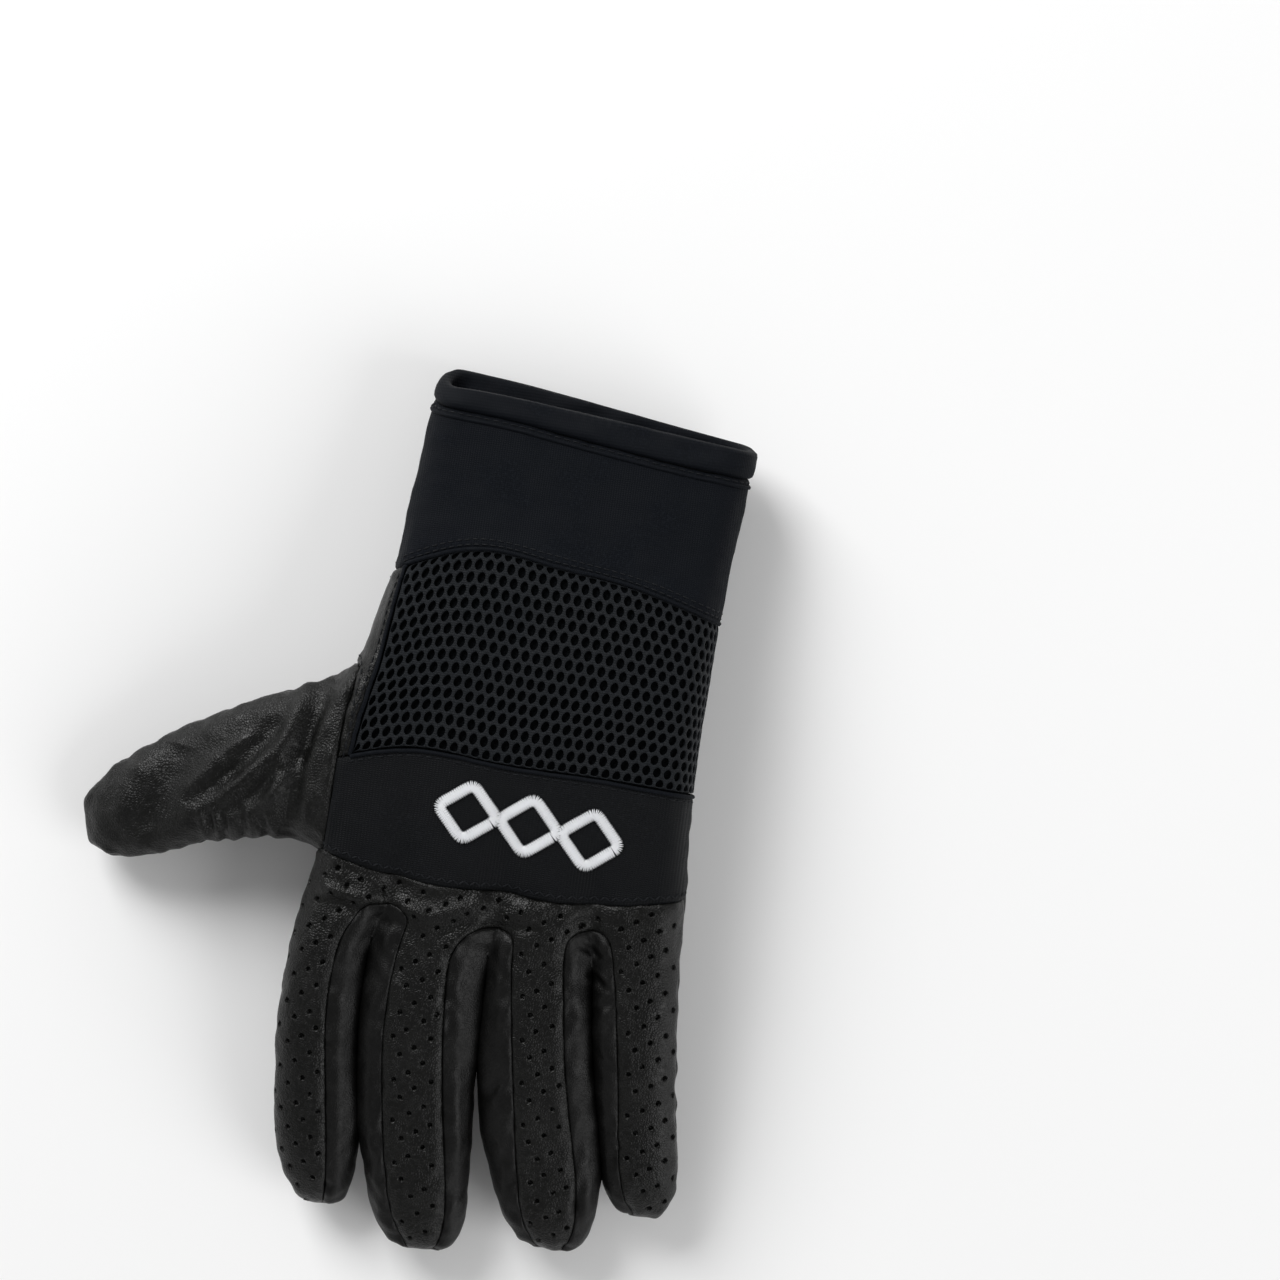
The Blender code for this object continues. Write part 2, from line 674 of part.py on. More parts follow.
def emblem(name, skin, material):
    """The motif: the flat chain cut finer, laid on the band and raised as thick as its stitching."""
    surface = BVHTree.FromPolygons(skin.points, [corners for _, corners in skin.faces])
    turn = math.cos(EMBLEM_TILT), math.sin(EMBLEM_TILT)
    bm = bmesh.new()
    for quad in lozenge_chain():
        bm.faces.new([bm.verts.new((*point, 0)) for point in quad])
    bmesh.ops.remove_doubles(bm, verts=bm.verts, dist=0.01 * MM)
    bmesh.ops.subdivide_edges(bm, edges=bm.edges[:], cuts=1, use_grid_fill=True)
    bmesh.ops.recalc_face_normals(bm, faces=bm.faces)
    for vert in bm.verts:
        x = EMBLEM_CENTRE[0] + vert.co.x * turn[0] - vert.co.y * turn[1]
        y = EMBLEM_CENTRE[1] + vert.co.x * turn[1] + vert.co.y * turn[0]
        hit = surface.ray_cast(Vector((x, y, 4 * HAND_DEPTH)), Vector((0, 0, -1)))[0]
        vert.co = hit + Vector((0, 0, GAP))
    grown = bmesh.ops.extrude_face_region(bm, geom=bm.faces[:])
    raised = [vert for vert in grown["geom"] if isinstance(vert, bmesh.types.BMVert)]
    bmesh.ops.translate(bm, verts=raised, vec=(0, 0, EMBLEM_WALL))
    return finish_mesh(name, bm, material)


def turned(name, profile, sides, material):
    """A round piece turned about Z from its profile, which runs from top to bottom down its outer side."""
    mesh = bpy.data.meshes.new(name)
    edges = [(k, k + 1) for k in range(len(profile) - 1)]
    mesh.from_pydata([(radius, 0, z) for radius, z in profile], edges, [])
    obj = linked(name, mesh, material)
    screw = obj.modifiers.new("Turn", "SCREW")
    screw.steps = screw.render_steps = sides
    screw.use_merge_vertices = True
    screw.merge_threshold = 0.01 * MM
    screw.use_smooth_shade = False
    return obj


def puck(material):
    """The slide puck: a flat disc, rounded at the top, with a broad chamfer round its sliding face."""
    radius = PUCK_DIAMETER / 2
    profile = [
        (0, PUCK_THICKNESS),
        (radius - PUCK_EDGE_ROUND, PUCK_THICKNESS),
        (radius - PUCK_EDGE_ROUND * 0.3, PUCK_THICKNESS - PUCK_EDGE_ROUND * 0.3),
        (radius, PUCK_THICKNESS - PUCK_EDGE_ROUND),
        (radius, PUCK_CHAMFER_HEIGHT + PUCK_EDGE_ROUND),
        (radius - PUCK_EDGE_ROUND * 0.4, PUCK_CHAMFER_HEIGHT),
        (radius - PUCK_CHAMFER_WIDTH, 0),
        (0, 0),
    ]
    return turned("puck", profile, PUCK_SIDES, material)


def hook_pad(material):
    """The hook half of the fastening, on the back of the puck."""
    base = PUCK_THICKNESS + GAP
    radius = PUCK_DIAMETER / 2 - HOOK_PAD_MARGIN
    profile = [(0, base + PAD_THICKNESS), (radius, base + PAD_THICKNESS), (radius, base), (0, base)]
    return turned("puck_hook_pad", profile, PUCK_SIDES, material)


def palm_loop_patch(material):
    """The pile half, sewn flat on the palm: a long pad with round corners that reaches past the puck."""
    bm = bmesh.new()
    bmesh.ops.create_cube(bm, size=1)
    bmesh.ops.scale(bm, verts=bm.verts, vec=(LOOP_PATCH_WIDTH, LOOP_PATCH_LENGTH, PAD_THICKNESS))
    upright = [edge for edge in bm.edges if abs(edge.verts[0].co.z - edge.verts[1].co.z) > PAD_THICKNESS / 2]
    bmesh.ops.bevel(bm, geom=upright, offset=LOOP_PATCH_CORNER, segments=8, profile=0.5, affect="EDGES")
    lift = PUCK_THICKNESS + 1.5 * PAD_THICKNESS + 2 * GAP
    bmesh.ops.translate(bm, verts=bm.verts, vec=(0, LOOP_PATCH_SHIFT, lift))
    return finish_mesh("palm_loop_patch", bm, material)


def wrist_loop_patch(skin, rows, normals, material):
    """The pile patch on the palm side of the cuff: a plate that lies just outside the neoprene."""
    faces = []
    for row in range(WRIST_PATCH_ROWS[0], WRIST_PATCH_ROWS[1]):
        near, far = rows[row][1], rows[row + 1][1]
        for k in range(*WRIST_PATCH_COLUMNS):
            faces.append((far[k], far[k + 1], near[k + 1], near[k]))
    sewn_panel("wrist_loop_patch", skin, normals, faces, PAD_THICKNESS, material, GAP + PAD_THICKNESS)


def material(name, colour, roughness, metallic=0.0):
    made = bpy.data.materials.new(name)
    made.use_nodes = True
    shader = made.node_tree.nodes["Principled BSDF"]
    shader.inputs["Base Color"].default_value = (*colour, 1)
    shader.inputs["Roughness"].default_value = roughness
    shader.inputs["Metallic"].default_value = metallic
    return made


def clear_scene():
    for obj in list(bpy.data.objects):
        bpy.data.objects.remove(obj, do_unlink=True)
    bpy.context.scene.collection.children.link(bpy.data.collections.new("slide_glove"))


def main():
    clear_scene()
    neoprene = material("neoprene", (0.010, 0.013, 0.018), 0.75)
    binding = material("binding", (0.011, 0.014, 0.020), 0.60)
    knit = material("mesh_knit", (0.012, 0.015, 0.019), 0.65)
    backing = material("mesh_backing", (0.005, 0.006, 0.007), 0.90)
    webbing = material("webbing", (0.010, 0.011, 0.013), 0.70)
    thread = material("white_thread", (0.75, 0.76, 0.78), 0.55)
    leather = material("leather", (0.016, 0.016, 0.015), 0.42)
    soft_leather = material("soft_leather", (0.014, 0.014, 0.014), 0.50)
    pile = material("loop_pile", (0.012, 0.013, 0.012), 0.95)
    hooks = material("hook_tape", (0.012, 0.012, 0.012), 0.80)
    plastic = material("puck_plastic", (0.040, 0.043, 0.045), 0.55)

    skin, rows = build_skin()
    normals = skin.normals()
    faces = {}
    for panel, corners in skin.faces:
        faces.setdefault(panel, []).append(corners)

    for name in ("palm", "finger_backs", "thumb_back", "thumb_front"):
        sewn_panel(name, skin, normals, faces[name], LEATHER_WALL, leather)
    for k in (1, 2, 3):
        sewn_panel(f"fourchette_{k}", skin, normals, faces[f"fourchette_{k}"], FOURCHETTE_WALL, soft_leather)
    sewn_panel("knuckle_band", skin, normals, faces["knuckle_band"], BAND_WALL, webbing)
    sewn_panel("cuff_back", skin, normals, faces["cuff_back"], NEOPRENE_WALL, neoprene)
    sewn_panel("cuff_palm", skin, normals, faces["cuff_palm"], NEOPRENE_WALL, neoprene)
    sewn_panel("cuff_binding", skin, normals, faces["cuff_binding"], BINDING_WALL, binding, BINDING_PROUD)
    sunk = -NET_WALL - NET_CLEARANCE
    sewn_panel("mesh_backing", skin, normals, faces["mesh"], BACKING_WALL, backing, sunk)
    open_net("mesh_net", skin, rows, knit)
    emblem("emblem", skin, thread)
    wrist_loop_patch(skin, rows, normals, pile)
    palm_loop_patch(pile)
    hook_pad(hooks)
    puck(plastic)


main()
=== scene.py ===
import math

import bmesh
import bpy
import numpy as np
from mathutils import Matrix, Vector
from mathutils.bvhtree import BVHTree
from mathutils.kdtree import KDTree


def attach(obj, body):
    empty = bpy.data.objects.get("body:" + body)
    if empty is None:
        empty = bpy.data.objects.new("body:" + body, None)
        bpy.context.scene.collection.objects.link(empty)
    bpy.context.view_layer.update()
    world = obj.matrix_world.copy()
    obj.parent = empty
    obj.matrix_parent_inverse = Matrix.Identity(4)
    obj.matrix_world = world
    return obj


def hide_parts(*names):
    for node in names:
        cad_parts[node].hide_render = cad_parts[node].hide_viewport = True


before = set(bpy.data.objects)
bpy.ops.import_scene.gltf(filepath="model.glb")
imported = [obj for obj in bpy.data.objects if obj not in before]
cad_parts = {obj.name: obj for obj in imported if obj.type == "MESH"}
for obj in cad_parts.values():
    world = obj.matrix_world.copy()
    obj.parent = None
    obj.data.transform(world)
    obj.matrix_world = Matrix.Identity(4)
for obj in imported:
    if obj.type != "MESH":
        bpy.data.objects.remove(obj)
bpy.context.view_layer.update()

# %% [markdown]
# # A slide glove, sewn in code
# This lesson dresses the plain solids of a left-hand slide glove. The glove lies palm down on its round puck,
# with the back of the hand up. The frame loaded above holds those solids, and it is never changed: each piece
# made below takes the place of one of them.
#
# A real glove is flat cloth and leather, sewn into one closed skin. So we first make that skin, smooth it and
# crease it, and only then cut it into its panels. Neighbouring panels meet exactly along their seams that way.

MM = 0.001

# %% [markdown]
# ## Camera, floor and light
# The picture was taken from straight above, with the glove turned a little. A long lens keeps the outline free
# of perspective. Black leather shows its folds only through reflections, so there is one big soft light above
# the glove's upper left, a weaker one opposite, and a pale sky and floor that fill the shadows.

# %% Camera, floor and light
VIEW_CENTRE = (29.2 * MM, 52.4 * MM)
VIEW_TURN = math.radians(8)
VIEW_WIDTH = 371.2 * MM
CAMERA_HEIGHT = 1.2
FLOOR_SIZE = 8.0
HORIZON_FADE = 0.5


def add_camera():
    """A camera that looks straight down, turned about the vertical."""
    data = bpy.data.cameras.new("camera")
    data.sensor_width = 36
    data.lens = data.sensor_width * CAMERA_HEIGHT / VIEW_WIDTH
    data.clip_end = 50
    camera = bpy.data.objects.new("camera", data)
    camera.location = (*VIEW_CENTRE, CAMERA_HEIGHT + 30 * MM)
    camera.rotation_euler = (0, 0, VIEW_TURN)
    bpy.context.scene.collection.objects.link(camera)
    bpy.context.scene.camera = camera


def add_softbox(name, place, aim, size, power):
    data = bpy.data.lights.new(name, "AREA")
    data.shape = "SQUARE"
    data.size = size
    data.energy = power
    light = bpy.data.objects.new(name, data)
    light.location = place
    light.rotation_euler = (Vector(aim) - Vector(place)).to_track_quat("-Z", "Y").to_euler()
    bpy.context.scene.collection.objects.link(light)


def add_floor():
    mesh = bpy.data.meshes.new("floor")
    half = FLOOR_SIZE / 2
    mesh.from_pydata([(-half, -half, 0), (half, -half, 0), (half, half, 0), (-half, half, 0)], [], [(0, 1, 2, 3)])
    floor = bpy.data.objects.new("floor", mesh)
    paper = bpy.data.materials.new("pale_paper")
    paper.use_nodes = True
    shader = paper.node_tree.nodes["Principled BSDF"]
    shader.inputs["Base Color"].default_value = (0.86, 0.86, 0.86, 1)
    shader.inputs["Roughness"].default_value = 0.9
    mesh.materials.append(paper)
    bpy.context.scene.collection.objects.link(floor)


def add_sky(overhead, at_horizon):
    """A pale sky, weak overhead and bright at the horizon, like the walls of a white room."""
    world = bpy.data.worlds.new("pale_sky")
    world.use_nodes = True
    tree = world.node_tree
    sky = tree.nodes["Background"]
    sky.inputs["Color"].default_value = (1, 1, 1, 1)
    direction = tree.nodes.new("ShaderNodeTexCoord")
    parts = tree.nodes.new("ShaderNodeSeparateXYZ")
    climb = tree.nodes.new("ShaderNodeMapRange")
    climb.inputs["From Max"].default_value = HORIZON_FADE
    climb.inputs["To Min"].default_value = at_horizon
    climb.inputs["To Max"].default_value = overhead
    tree.links.new(direction.outputs["Generated"], parts.inputs[0])
    tree.links.new(parts.outputs["Z"], climb.inputs["Value"])
    tree.links.new(climb.outputs["Result"], sky.inputs["Strength"])
    bpy.context.scene.world = world


add_camera()
add_floor()
add_sky(0.32, 0.95)
add_softbox("key_softbox", (-1.2, 1.4, 1.3), (0, 0, 0), 1.2, 50)
add_softbox("fill_softbox", (1.6, -0.7, 1.1), (0, 0, 0), 1.4, 20)
bpy.context.scene.view_settings.view_transform = "Standard"
print("camera lens", round(bpy.context.scene.camera.data.lens, 1), "mm")

# %% [markdown]
# ## The sizes of the glove
# These are the sizes and tables that the solids were made with, so the skin below lies in the same place. The
# rows run across the hand from the fingers' roots to the cuff's rim. The rings run round each finger.

# %% Sizes
# Driving sizes of the puck and the two halves of its hook and loop pads.
PUCK_DIAMETER = 100 * MM
PUCK_THICKNESS = 12 * MM
PUCK_CHAMFER_WIDTH = 6 * MM
PUCK_CHAMFER_HEIGHT = 3 * MM
PUCK_EDGE_ROUND = 1.5 * MM
PUCK_SIDES = 48
HOOK_PAD_MARGIN = 3 * MM
PAD_THICKNESS = 1.5 * MM
LOOP_PATCH_WIDTH = 86 * MM
LOOP_PATCH_LENGTH = 98 * MM
LOOP_PATCH_CORNER = 24 * MM
LOOP_PATCH_SHIFT = 7 * MM

# Driving sizes of the hand. The crotch line joins the roots of the fingers.
PALM_WIDTH = 102 * MM
PALM_LENGTH = 113 * MM
CUFF_LENGTH = 44.3 * MM
CROTCH_TO_PUCK_CENTRE = 42 * MM
HAND_DEPTH = 25 * MM
HAND_EDGE = 9 * MM
FINGER_DEPTH = 19 * MM
FINGER_FULLNESS = 2.3
WEB_DEPTH = 2 * MM
THUMB_LENGTH = 76 * MM
THUMB_WIDTH = 41 * MM
THUMB_ROOT_Y = 9 * MM
ARCH_WIDTH = 12 * MM
ARCH_RISE = 4 * MM
SIDE_COLUMN = 2.4 * MM
RIM_RISE_THUMB_SIDE = 6 * MM
RIM_RISE_LITTLE_SIDE = 2 * MM

# Walls, and the clearances that keep neighbouring pieces apart.
GAP = 0.3 * MM
SEAM_TUCK = 0.3 * MM
NEOPRENE_WALL = 3.0 * MM
BINDING_WALL = 3.8 * MM
BINDING_PROUD = 0.6 * MM
LEATHER_WALL = 1.4 * MM
FOURCHETTE_WALL = 1.1 * MM
BAND_WALL = 2.2 * MM
NET_WALL = 0.9 * MM
BACKING_WALL = 1.6 * MM
NET_CLEARANCE = 1.0 * MM
EMBLEM_WALL = 0.9 * MM

# The net: its cells across and along the back of the hand, and its strands.
NET_CELLS_ACROSS = 12
NET_CELLS_ALONG = 7
NET_STRAND = 1.5 * MM
NET_SWING = 1 / 6

# The rows and the columns that the pile patch on the cuff covers.
WRIST_PATCH_ROWS = (11, 14)
WRIST_PATCH_COLUMNS = (5, 26)

# The embroidered motif: a chain of joined lozenges.
EMBLEM_LENGTH = 54 * MM
EMBLEM_HEIGHT = 20 * MM
EMBLEM_STROKE = 3.6 * MM
EMBLEM_LOZENGES = 3
EMBLEM_CENTRE = (5 * MM, -5 * MM)
EMBLEM_TILT = math.radians(-5)

STAND = PUCK_THICKNESS + 2 * PAD_THICKNESS + 3 * GAP
CROTCH_Y = -CROTCH_TO_PUCK_CENTRE

# Rows of the skin that lie on seams.
ARCH_ROW, BAND_ROW, MESH_ROW, CUFF_ROW, BINDING_ROW, RIM_ROW = 1, 2, 5, 10, 14, 15
THUMB_ROWS = (2, 8)

# Columns of the skin across the back: eight on the index finger, and seven more on each other finger.
# The valleys between fingers are columns, and so are the two sides of each finger's back panel.
COLUMNS_PER_FINGER = 7
LAST_COLUMN = 4 * COLUMNS_PER_FINGER
VALLEYS = (7, 14, 21)
BACK_PANELS = ((1, 5), (9, 12), (16, 19), (23, 27))

# Where the rows run. Up to 1, along is a share of PALM_LENGTH from the crotch line, and from there each 1 is
# CUFF_LENGTH. The five bows are how far the row swings towards the cuff, as shares of PALM_WIDTH.
ROW_LINES = (
    # row, along, bow_thumb_side, bow_quarter, bow_centre, bow_three_quarters, bow_little_side
    (0, 0.000, 0.000, 0.000, 0.000, 0.000, 0.000),
    (1, 0.053, 0.059, 0.039, -0.010, 0.039, 0.060),
    (2, 0.152, 0.060, -0.007, 0.000, -0.008, 0.050),
    (5, 0.469, -0.069, 0.014, 0.000, 0.000, -0.013),
    (10, 1.000, -0.074, 0.020, 0.000, -0.032, -0.100),
    (14, 1.819, 0.050, 0.031, 0.000, -0.027, -0.042),
    (15, 2.000, 0.031, 0.020, 0.000, -0.022, -0.042),
)

# How the sides of the rows run, as shares of PALM_WIDTH: the outline, the edge of the thumb's opening,
# the edge of the mesh beside it, the little finger's side, and how far the mesh wraps under from there.
ROW_SIDES = (
    # row, thumb_side, thumb_opening, mesh_edge, little_side, mesh_wrap
    (1, -0.564, -0.538, -0.500, 0.528, 0.060),
    (2, -0.540, -0.515, -0.476, 0.526, 0.055),
    (3, -0.590, -0.510, -0.476, 0.515, 0.050),
    (5, -0.590, -0.505, -0.480, 0.505, 0.050),
    (6, -0.590, -0.505, -0.464, 0.503, 0.070),
    (7, -0.580, -0.503, -0.440, 0.503, 0.085),
    (8, -0.502, -0.478, -0.428, 0.505, 0.100),
    (9, -0.484, -0.462, -0.418, 0.508, 0.110),
    (10, -0.442, -0.424, -0.400, 0.512, 0.115),
    (12, -0.422, -0.398, -0.360, 0.526, 0.075),
    (14, -0.398, -0.374, -0.338, 0.543, 0.060),
    (15, -0.384, -0.360, -0.325, 0.548, 0.060),
)

# How high the rows lie: the underside as a share of STAND, and the depth and its crown as shares of
# HAND_DEPTH.
ROW_DEPTHS = (
    # row, underside, depth, crown
    (0, 1.080, 0.80, 0.00),
    (1, 1.030, 0.87, 0.02),
    (2, 1.000, 0.94, 0.04),
    (5, 1.000, 1.00, 0.07),
    (9, 1.000, 0.98, 0.08),
    (10, 0.950, 0.94, 0.08),
    (12, 0.800, 0.87, 0.07),
    (14, 0.620, 0.82, 0.05),
    (15, 0.570, 0.80, 0.04),
)

# How much of the fingers' roundness the rows above the crotch line keep.
KNUCKLE_FADE = {0: 1.0, 1: 0.80, 2: 0.50, 3: 0.24, 4: 0.10, 5: 0.03}

# Each finger: its length, then where its outline and its two seams run, at shares of that length.
# The outline is in shares of PALM_WIDTH, and the seams are shares of the finger's own width.
FINGERS = {
    # along, left, right, left_seam, right_seam
    "index": (
        83.5 * MM,
        (
            (0.00, -0.576, -0.353, 0.15, 0.64),
            (0.25, -0.590, -0.368, 0.15, 0.62),
            (0.50, -0.584, -0.349, 0.15, 0.66),
            (0.75, -0.558, -0.318, 0.15, 0.65),
            (1.00, -0.512, -0.300, 0.15, 0.64),
        ),
    ),
    "middle": (
        93 * MM,
        (
            (0.00, -0.353, -0.012, 0.25, 0.66),
            (0.25, -0.355, -0.020, 0.20, 0.72),
            (0.50, -0.328, -0.022, 0.19, 0.80),
            (0.75, -0.290, 0.012, 0.19, 0.82),
            (1.00, -0.232, 0.048, 0.18, 0.80),
        ),
    ),
    "ring": (
        87.5 * MM,
        (
            (0.00, -0.012, 0.283, 0.19, 0.72),
            (0.25, -0.002, 0.300, 0.26, 0.77),
            (0.50, 0.018, 0.343, 0.29, 0.78),
            (0.75, 0.076, 0.386, 0.22, 0.82),
            (1.00, 0.138, 0.410, 0.18, 0.82),
        ),
    ),
    "little": (
        74.4 * MM,
        (
            (0.00, 0.283, 0.528, 0.22, 0.85),
            (0.25, 0.310, 0.548, 0.26, 0.85),
            (0.50, 0.343, 0.573, 0.25, 0.85),
            (0.75, 0.383, 0.602, 0.20, 0.85),
            (1.00, 0.420, 0.632, 0.18, 0.85),
        ),
    ),
}

# The fingers droop from the palm towards the tips: the underside is a share of STAND, and the depth one of
# FINGER_DEPTH.
FINGER_DROOP = (
    # along, underside, depth
    (0.00, 1.08, 1.06),
    (0.25, 0.97, 1.03),
    (0.50, 0.72, 0.99),
    (0.75, 0.43, 0.94),
    (1.00, 0.17, 0.88),
)
FINGER_RINGS = (0.12, 0.26, 0.40, 0.55, 0.70)
TIP_START = 0.83
TIP_RINGS = (0.0, 0.45, 0.78, 0.96)
TIP_ROUNDNESS = 2.2

# The thumb's rings, from the middle of its root: out is a share of THUMB_LENGTH, and across one of
# THUMB_WIDTH.
THUMB_RINGS = (
    # upper_out, upper_across, lower_out, lower_across, underside, depth
    (0.099, 0.500, 0.112, -0.690, 1.00, 1.22),
    (0.230, 0.378, 0.225, -0.695, 0.94, 1.16),
    (0.375, 0.256, 0.350, -0.735, 0.82, 1.09),
    (0.507, 0.127, 0.475, -0.785, 0.66, 1.04),
    (0.638, 0.000, 0.595, -0.870, 0.50, 1.00),
    (0.770, -0.151, 0.705, -0.965, 0.38, 0.95),
    (0.875, -0.317, 0.803, -1.024, 0.31, 0.83),
    (0.954, -0.463, 0.880, -1.010, 0.34, 0.62),
    (0.993, -0.634, 0.950, -0.910, 0.45, 0.33),
)


# %% [markdown]
# ## The skin's cage
# placeholder

# %% Curves and the cage of the skin
def smooth_curves(stations, at):
    """The values at one position, on smooth curves through a table whose first column is the position."""
    table = np.array(stations, float)
    where, values = table[:, 0], table[:, 1:]
    slopes = np.gradient(values, where, axis=0)
    low = int(np.clip(np.searchsorted(where, at) - 1, 0, len(where) - 2))
    span = where[low + 1] - where[low]
    t = (at - where[low]) / span
    bend = (1 - t) ** 2 * t * slopes[low] - (1 - t) * t**2 * slopes[low + 1]
    ease = t * t * (3 - 2 * t)
    return values[low] * (1 - ease) + values[low + 1] * ease + bend * span


def blend(first, last, share):
    return first + (last - first) * share


def superellipse(angle, fullness):
    """A point of the unit superellipse, rounder than a circle's corners for a fullness over 2."""
    c, s = math.cos(angle), math.sin(angle)
    power = 2 / fullness
    return math.copysign(abs(c) ** power, c), math.copysign(abs(s) ** power, s)


def slab_height(x, left, right, half):
    """Half the depth of a padded slab at x: flat, with quarter-ellipse edges."""
    inset = min(max(min(x - left, right - x) / HAND_EDGE, 0), 1)
    return half * math.sqrt(1 - (1 - inset) ** 2)


class Skin:
    """The glove's outer surface: points, and the sewn panel that each face belongs to."""

    def __init__(self):
        self.points = []
        self.faces = []

    def add(self, x, y, z):
        self.points.append(Vector((x, y, z)))
        return len(self.points) - 1

    def face(self, panel, *corners):
        self.faces.append((panel, corners))

    def normals(self):
        """The outward direction at each point, over all the faces that meet there."""
        total = [Vector() for _ in self.points]
        for _, corners in self.faces:
            ring = [self.points[c] for c in corners]
            area = sum((ring[k - 1].cross(ring[k]) for k in range(len(ring))), Vector())
            for c in corners:
                total[c] += area
        return [t.normalized() for t in total]


def ring_angles(left_seam, right_seam):
    """Angles of the eight points over a finger: two outside each seam, the seams, and two between them."""
    left = math.pi - math.acos((1 - 2 * left_seam) ** (FINGER_FULLNESS / 2))
    right = math.acos((2 * right_seam - 1) ** (FINGER_FULLNESS / 2))
    back = [left + (right - left) * share for share in (1 / 3, 2 / 3)]
    beside_left = [math.pi - (math.pi - left) * share for share in (0.34, 0.68)]
    beside_right = [right * share for share in (0.68, 0.34)]
    return [*beside_left, left, *back, right, *beside_right]


def finger_ring(outline, length, along, closing=1.0):
    """One ring round a finger: its place, and its eight columns from left to right as (x, rise)."""
    left, right, left_seam, right_seam = smooth_curves(outline, along)
    underside, depth = smooth_curves(FINGER_DROOP, along)
    centre = (left + right) / 2 * PALM_WIDTH
    half_width = (right - left) / 2 * PALM_WIDTH * closing
    half_depth = depth / 2 * FINGER_DEPTH
    shape = [superellipse(angle, FINGER_FULLNESS) for angle in ring_angles(left_seam, right_seam)]
    return {
        "y": CROTCH_Y - along * length,
        "z": underside * STAND + half_depth,
        "left": centre - half_width,
        "right": centre + half_width,
        "columns": [(centre + half_width * c, half_depth * closing * s) for c, s in shape],
    }


def crotch_columns():
    """The columns of the row at the fingers' roots, as (x, rise). Neighbouring fingers share a valley."""
    columns = []
    for length, outline in FINGERS.values():
        ring = finger_ring(outline, length, 0.0)["columns"]
        if columns:
            x, rise = columns.pop()
            ring[0] = ((x + ring[0][0]) / 2, (rise + ring[0][1]) / 2)
        columns += ring
    return columns


def spread_columns(row, crotch, sides):
    """The x of every column in a row: spaced as at the crotch, and gathered at the arches."""
    _, opening, mesh_edge, little_side, _ = sides * PALM_WIDTH
    low, high = crotch[1][0], crotch[LAST_COLUMN - 1][0]
    anchors = [1, *VALLEYS, LAST_COLUMN - 1]
    shares = [(crotch[c][0] - low) / (high - low) for c in anchors]
    inner_side = little_side - 2.6 * SIDE_COLUMN
    spread = np.interp(range(LAST_COLUMN + 1), anchors, shares)
    columns = mesh_edge + spread * (inner_side - mesh_edge)
    columns[0] = opening
    columns[LAST_COLUMN] = little_side - SIDE_COLUMN
    if row == ARCH_ROW:
        for valley in VALLEYS:
            for step in (-2, -1, 1, 2):
                columns[valley + step] = columns[valley] + step * ARCH_WIDTH / 4
        for first, last in BACK_PANELS:
            columns[first : last + 1] = np.linspace(columns[first], columns[last], last - first + 1)
    return columns


def row_line(row, x, left, right):
    """The y of a row at x, on its own bowed line."""
    along, *bows = smooth_curves(ROW_LINES, row)
    reach = min(along, 1) * PALM_LENGTH + max(along - 1, 0) * CUFF_LENGTH
    quarters = [(k / 4, bow) for k, bow in enumerate(bows)]
    return CROTCH_Y + reach + smooth_curves(quarters, (x - left) / (right - left))[0] * PALM_WIDTH


def arch_drop(row, column):
    """How far a column lies below the top of the arch over the nearest valley."""
    if row != ARCH_ROW:
        return 0.0
    nearest = min(abs(column - valley) for valley in VALLEYS)
    return ARCH_RISE * min(nearest / 2, 1) ** 2


def rim_rise(row, x, left, right):
    """How much further the palm side of the cuff reaches than its back, most at the thumb side."""
    share = max(row - CUFF_ROW, 0) / (RIM_ROW - CUFF_ROW)
    return blend(RIM_RISE_THUMB_SIDE, RIM_RISE_LITTLE_SIDE, (x - left) / (right - left)) * share


def hand_row(skin, row, crotch):
    """One row round the hand, as two sheets of points that share their ends: the back and the palm side."""
    sides = smooth_curves(ROW_SIDES, row)
    underside, depth, crown = smooth_curves(ROW_DEPTHS, row)
    left, right = sides[0] * PALM_WIDTH, sides[3] * PALM_WIDTH
    half = depth / 2 * HAND_DEPTH
    middle = underside * STAND + half
    root_half = FINGER_DROOP[0][2] / 2 * FINGER_DEPTH
    fade = KNUCKLE_FADE.get(row, 0)

    def point(x, column, side):
        y = row_line(row, x, left, right) - arch_drop(row, column)
        height = slab_height(x, left, right, half)
        if 2 < column < LAST_COLUMN - 2:
            height += fade * (crotch[column][1] - root_half)
        if side > 0:
            height += crown * HAND_DEPTH * (1 - ((2 * x - left - right) / (right - left)) ** 2)
        else:
            y += rim_rise(row, x, left, right)
        return skin.add(x, y, middle + side * height)

    columns = spread_columns(row, crotch, sides)
    back = [point(x, column, 1) for column, x in enumerate(columns)]
    if row > MESH_ROW:
        wrapped, valley = right - sides[4] * PALM_WIDTH, VALLEYS[-1]
        columns[valley:LAST_COLUMN] = np.linspace(columns[valley], wrapped, LAST_COLUMN - valley)
    palm = [point(x, column, -1) for column, x in enumerate(columns)]
    ends = []
    for x in (left, right):
        y = row_line(row, x, left, right) + rim_rise(row, x, left, right) / 2
        ends.append(skin.add(x, y, middle))
    return [ends[0], *back, ends[1]], [ends[0], *palm, ends[1]]


def crotch_row(skin, crotch):
    """The row at the fingers' roots, and the points inside the webs between them."""
    rings = [finger_ring(outline, length, 0.0) for length, outline in FINGERS.values()]
    middle = rings[0]["z"]
    ends = [skin.add(x, CROTCH_Y, middle) for x in (rings[0]["left"], rings[-1]["right"])]
    sheets = []
    for side in (1, -1):
        points = [skin.add(x, CROTCH_Y, middle + side * rise) for x, rise in crotch]
        sheets.append([ends[0], *points, ends[1]])
    webs = [skin.add(crotch[valley][0], CROTCH_Y - WEB_DEPTH, middle) for valley in VALLEYS]
    return sheets, [ends[0], *webs, ends[1]]


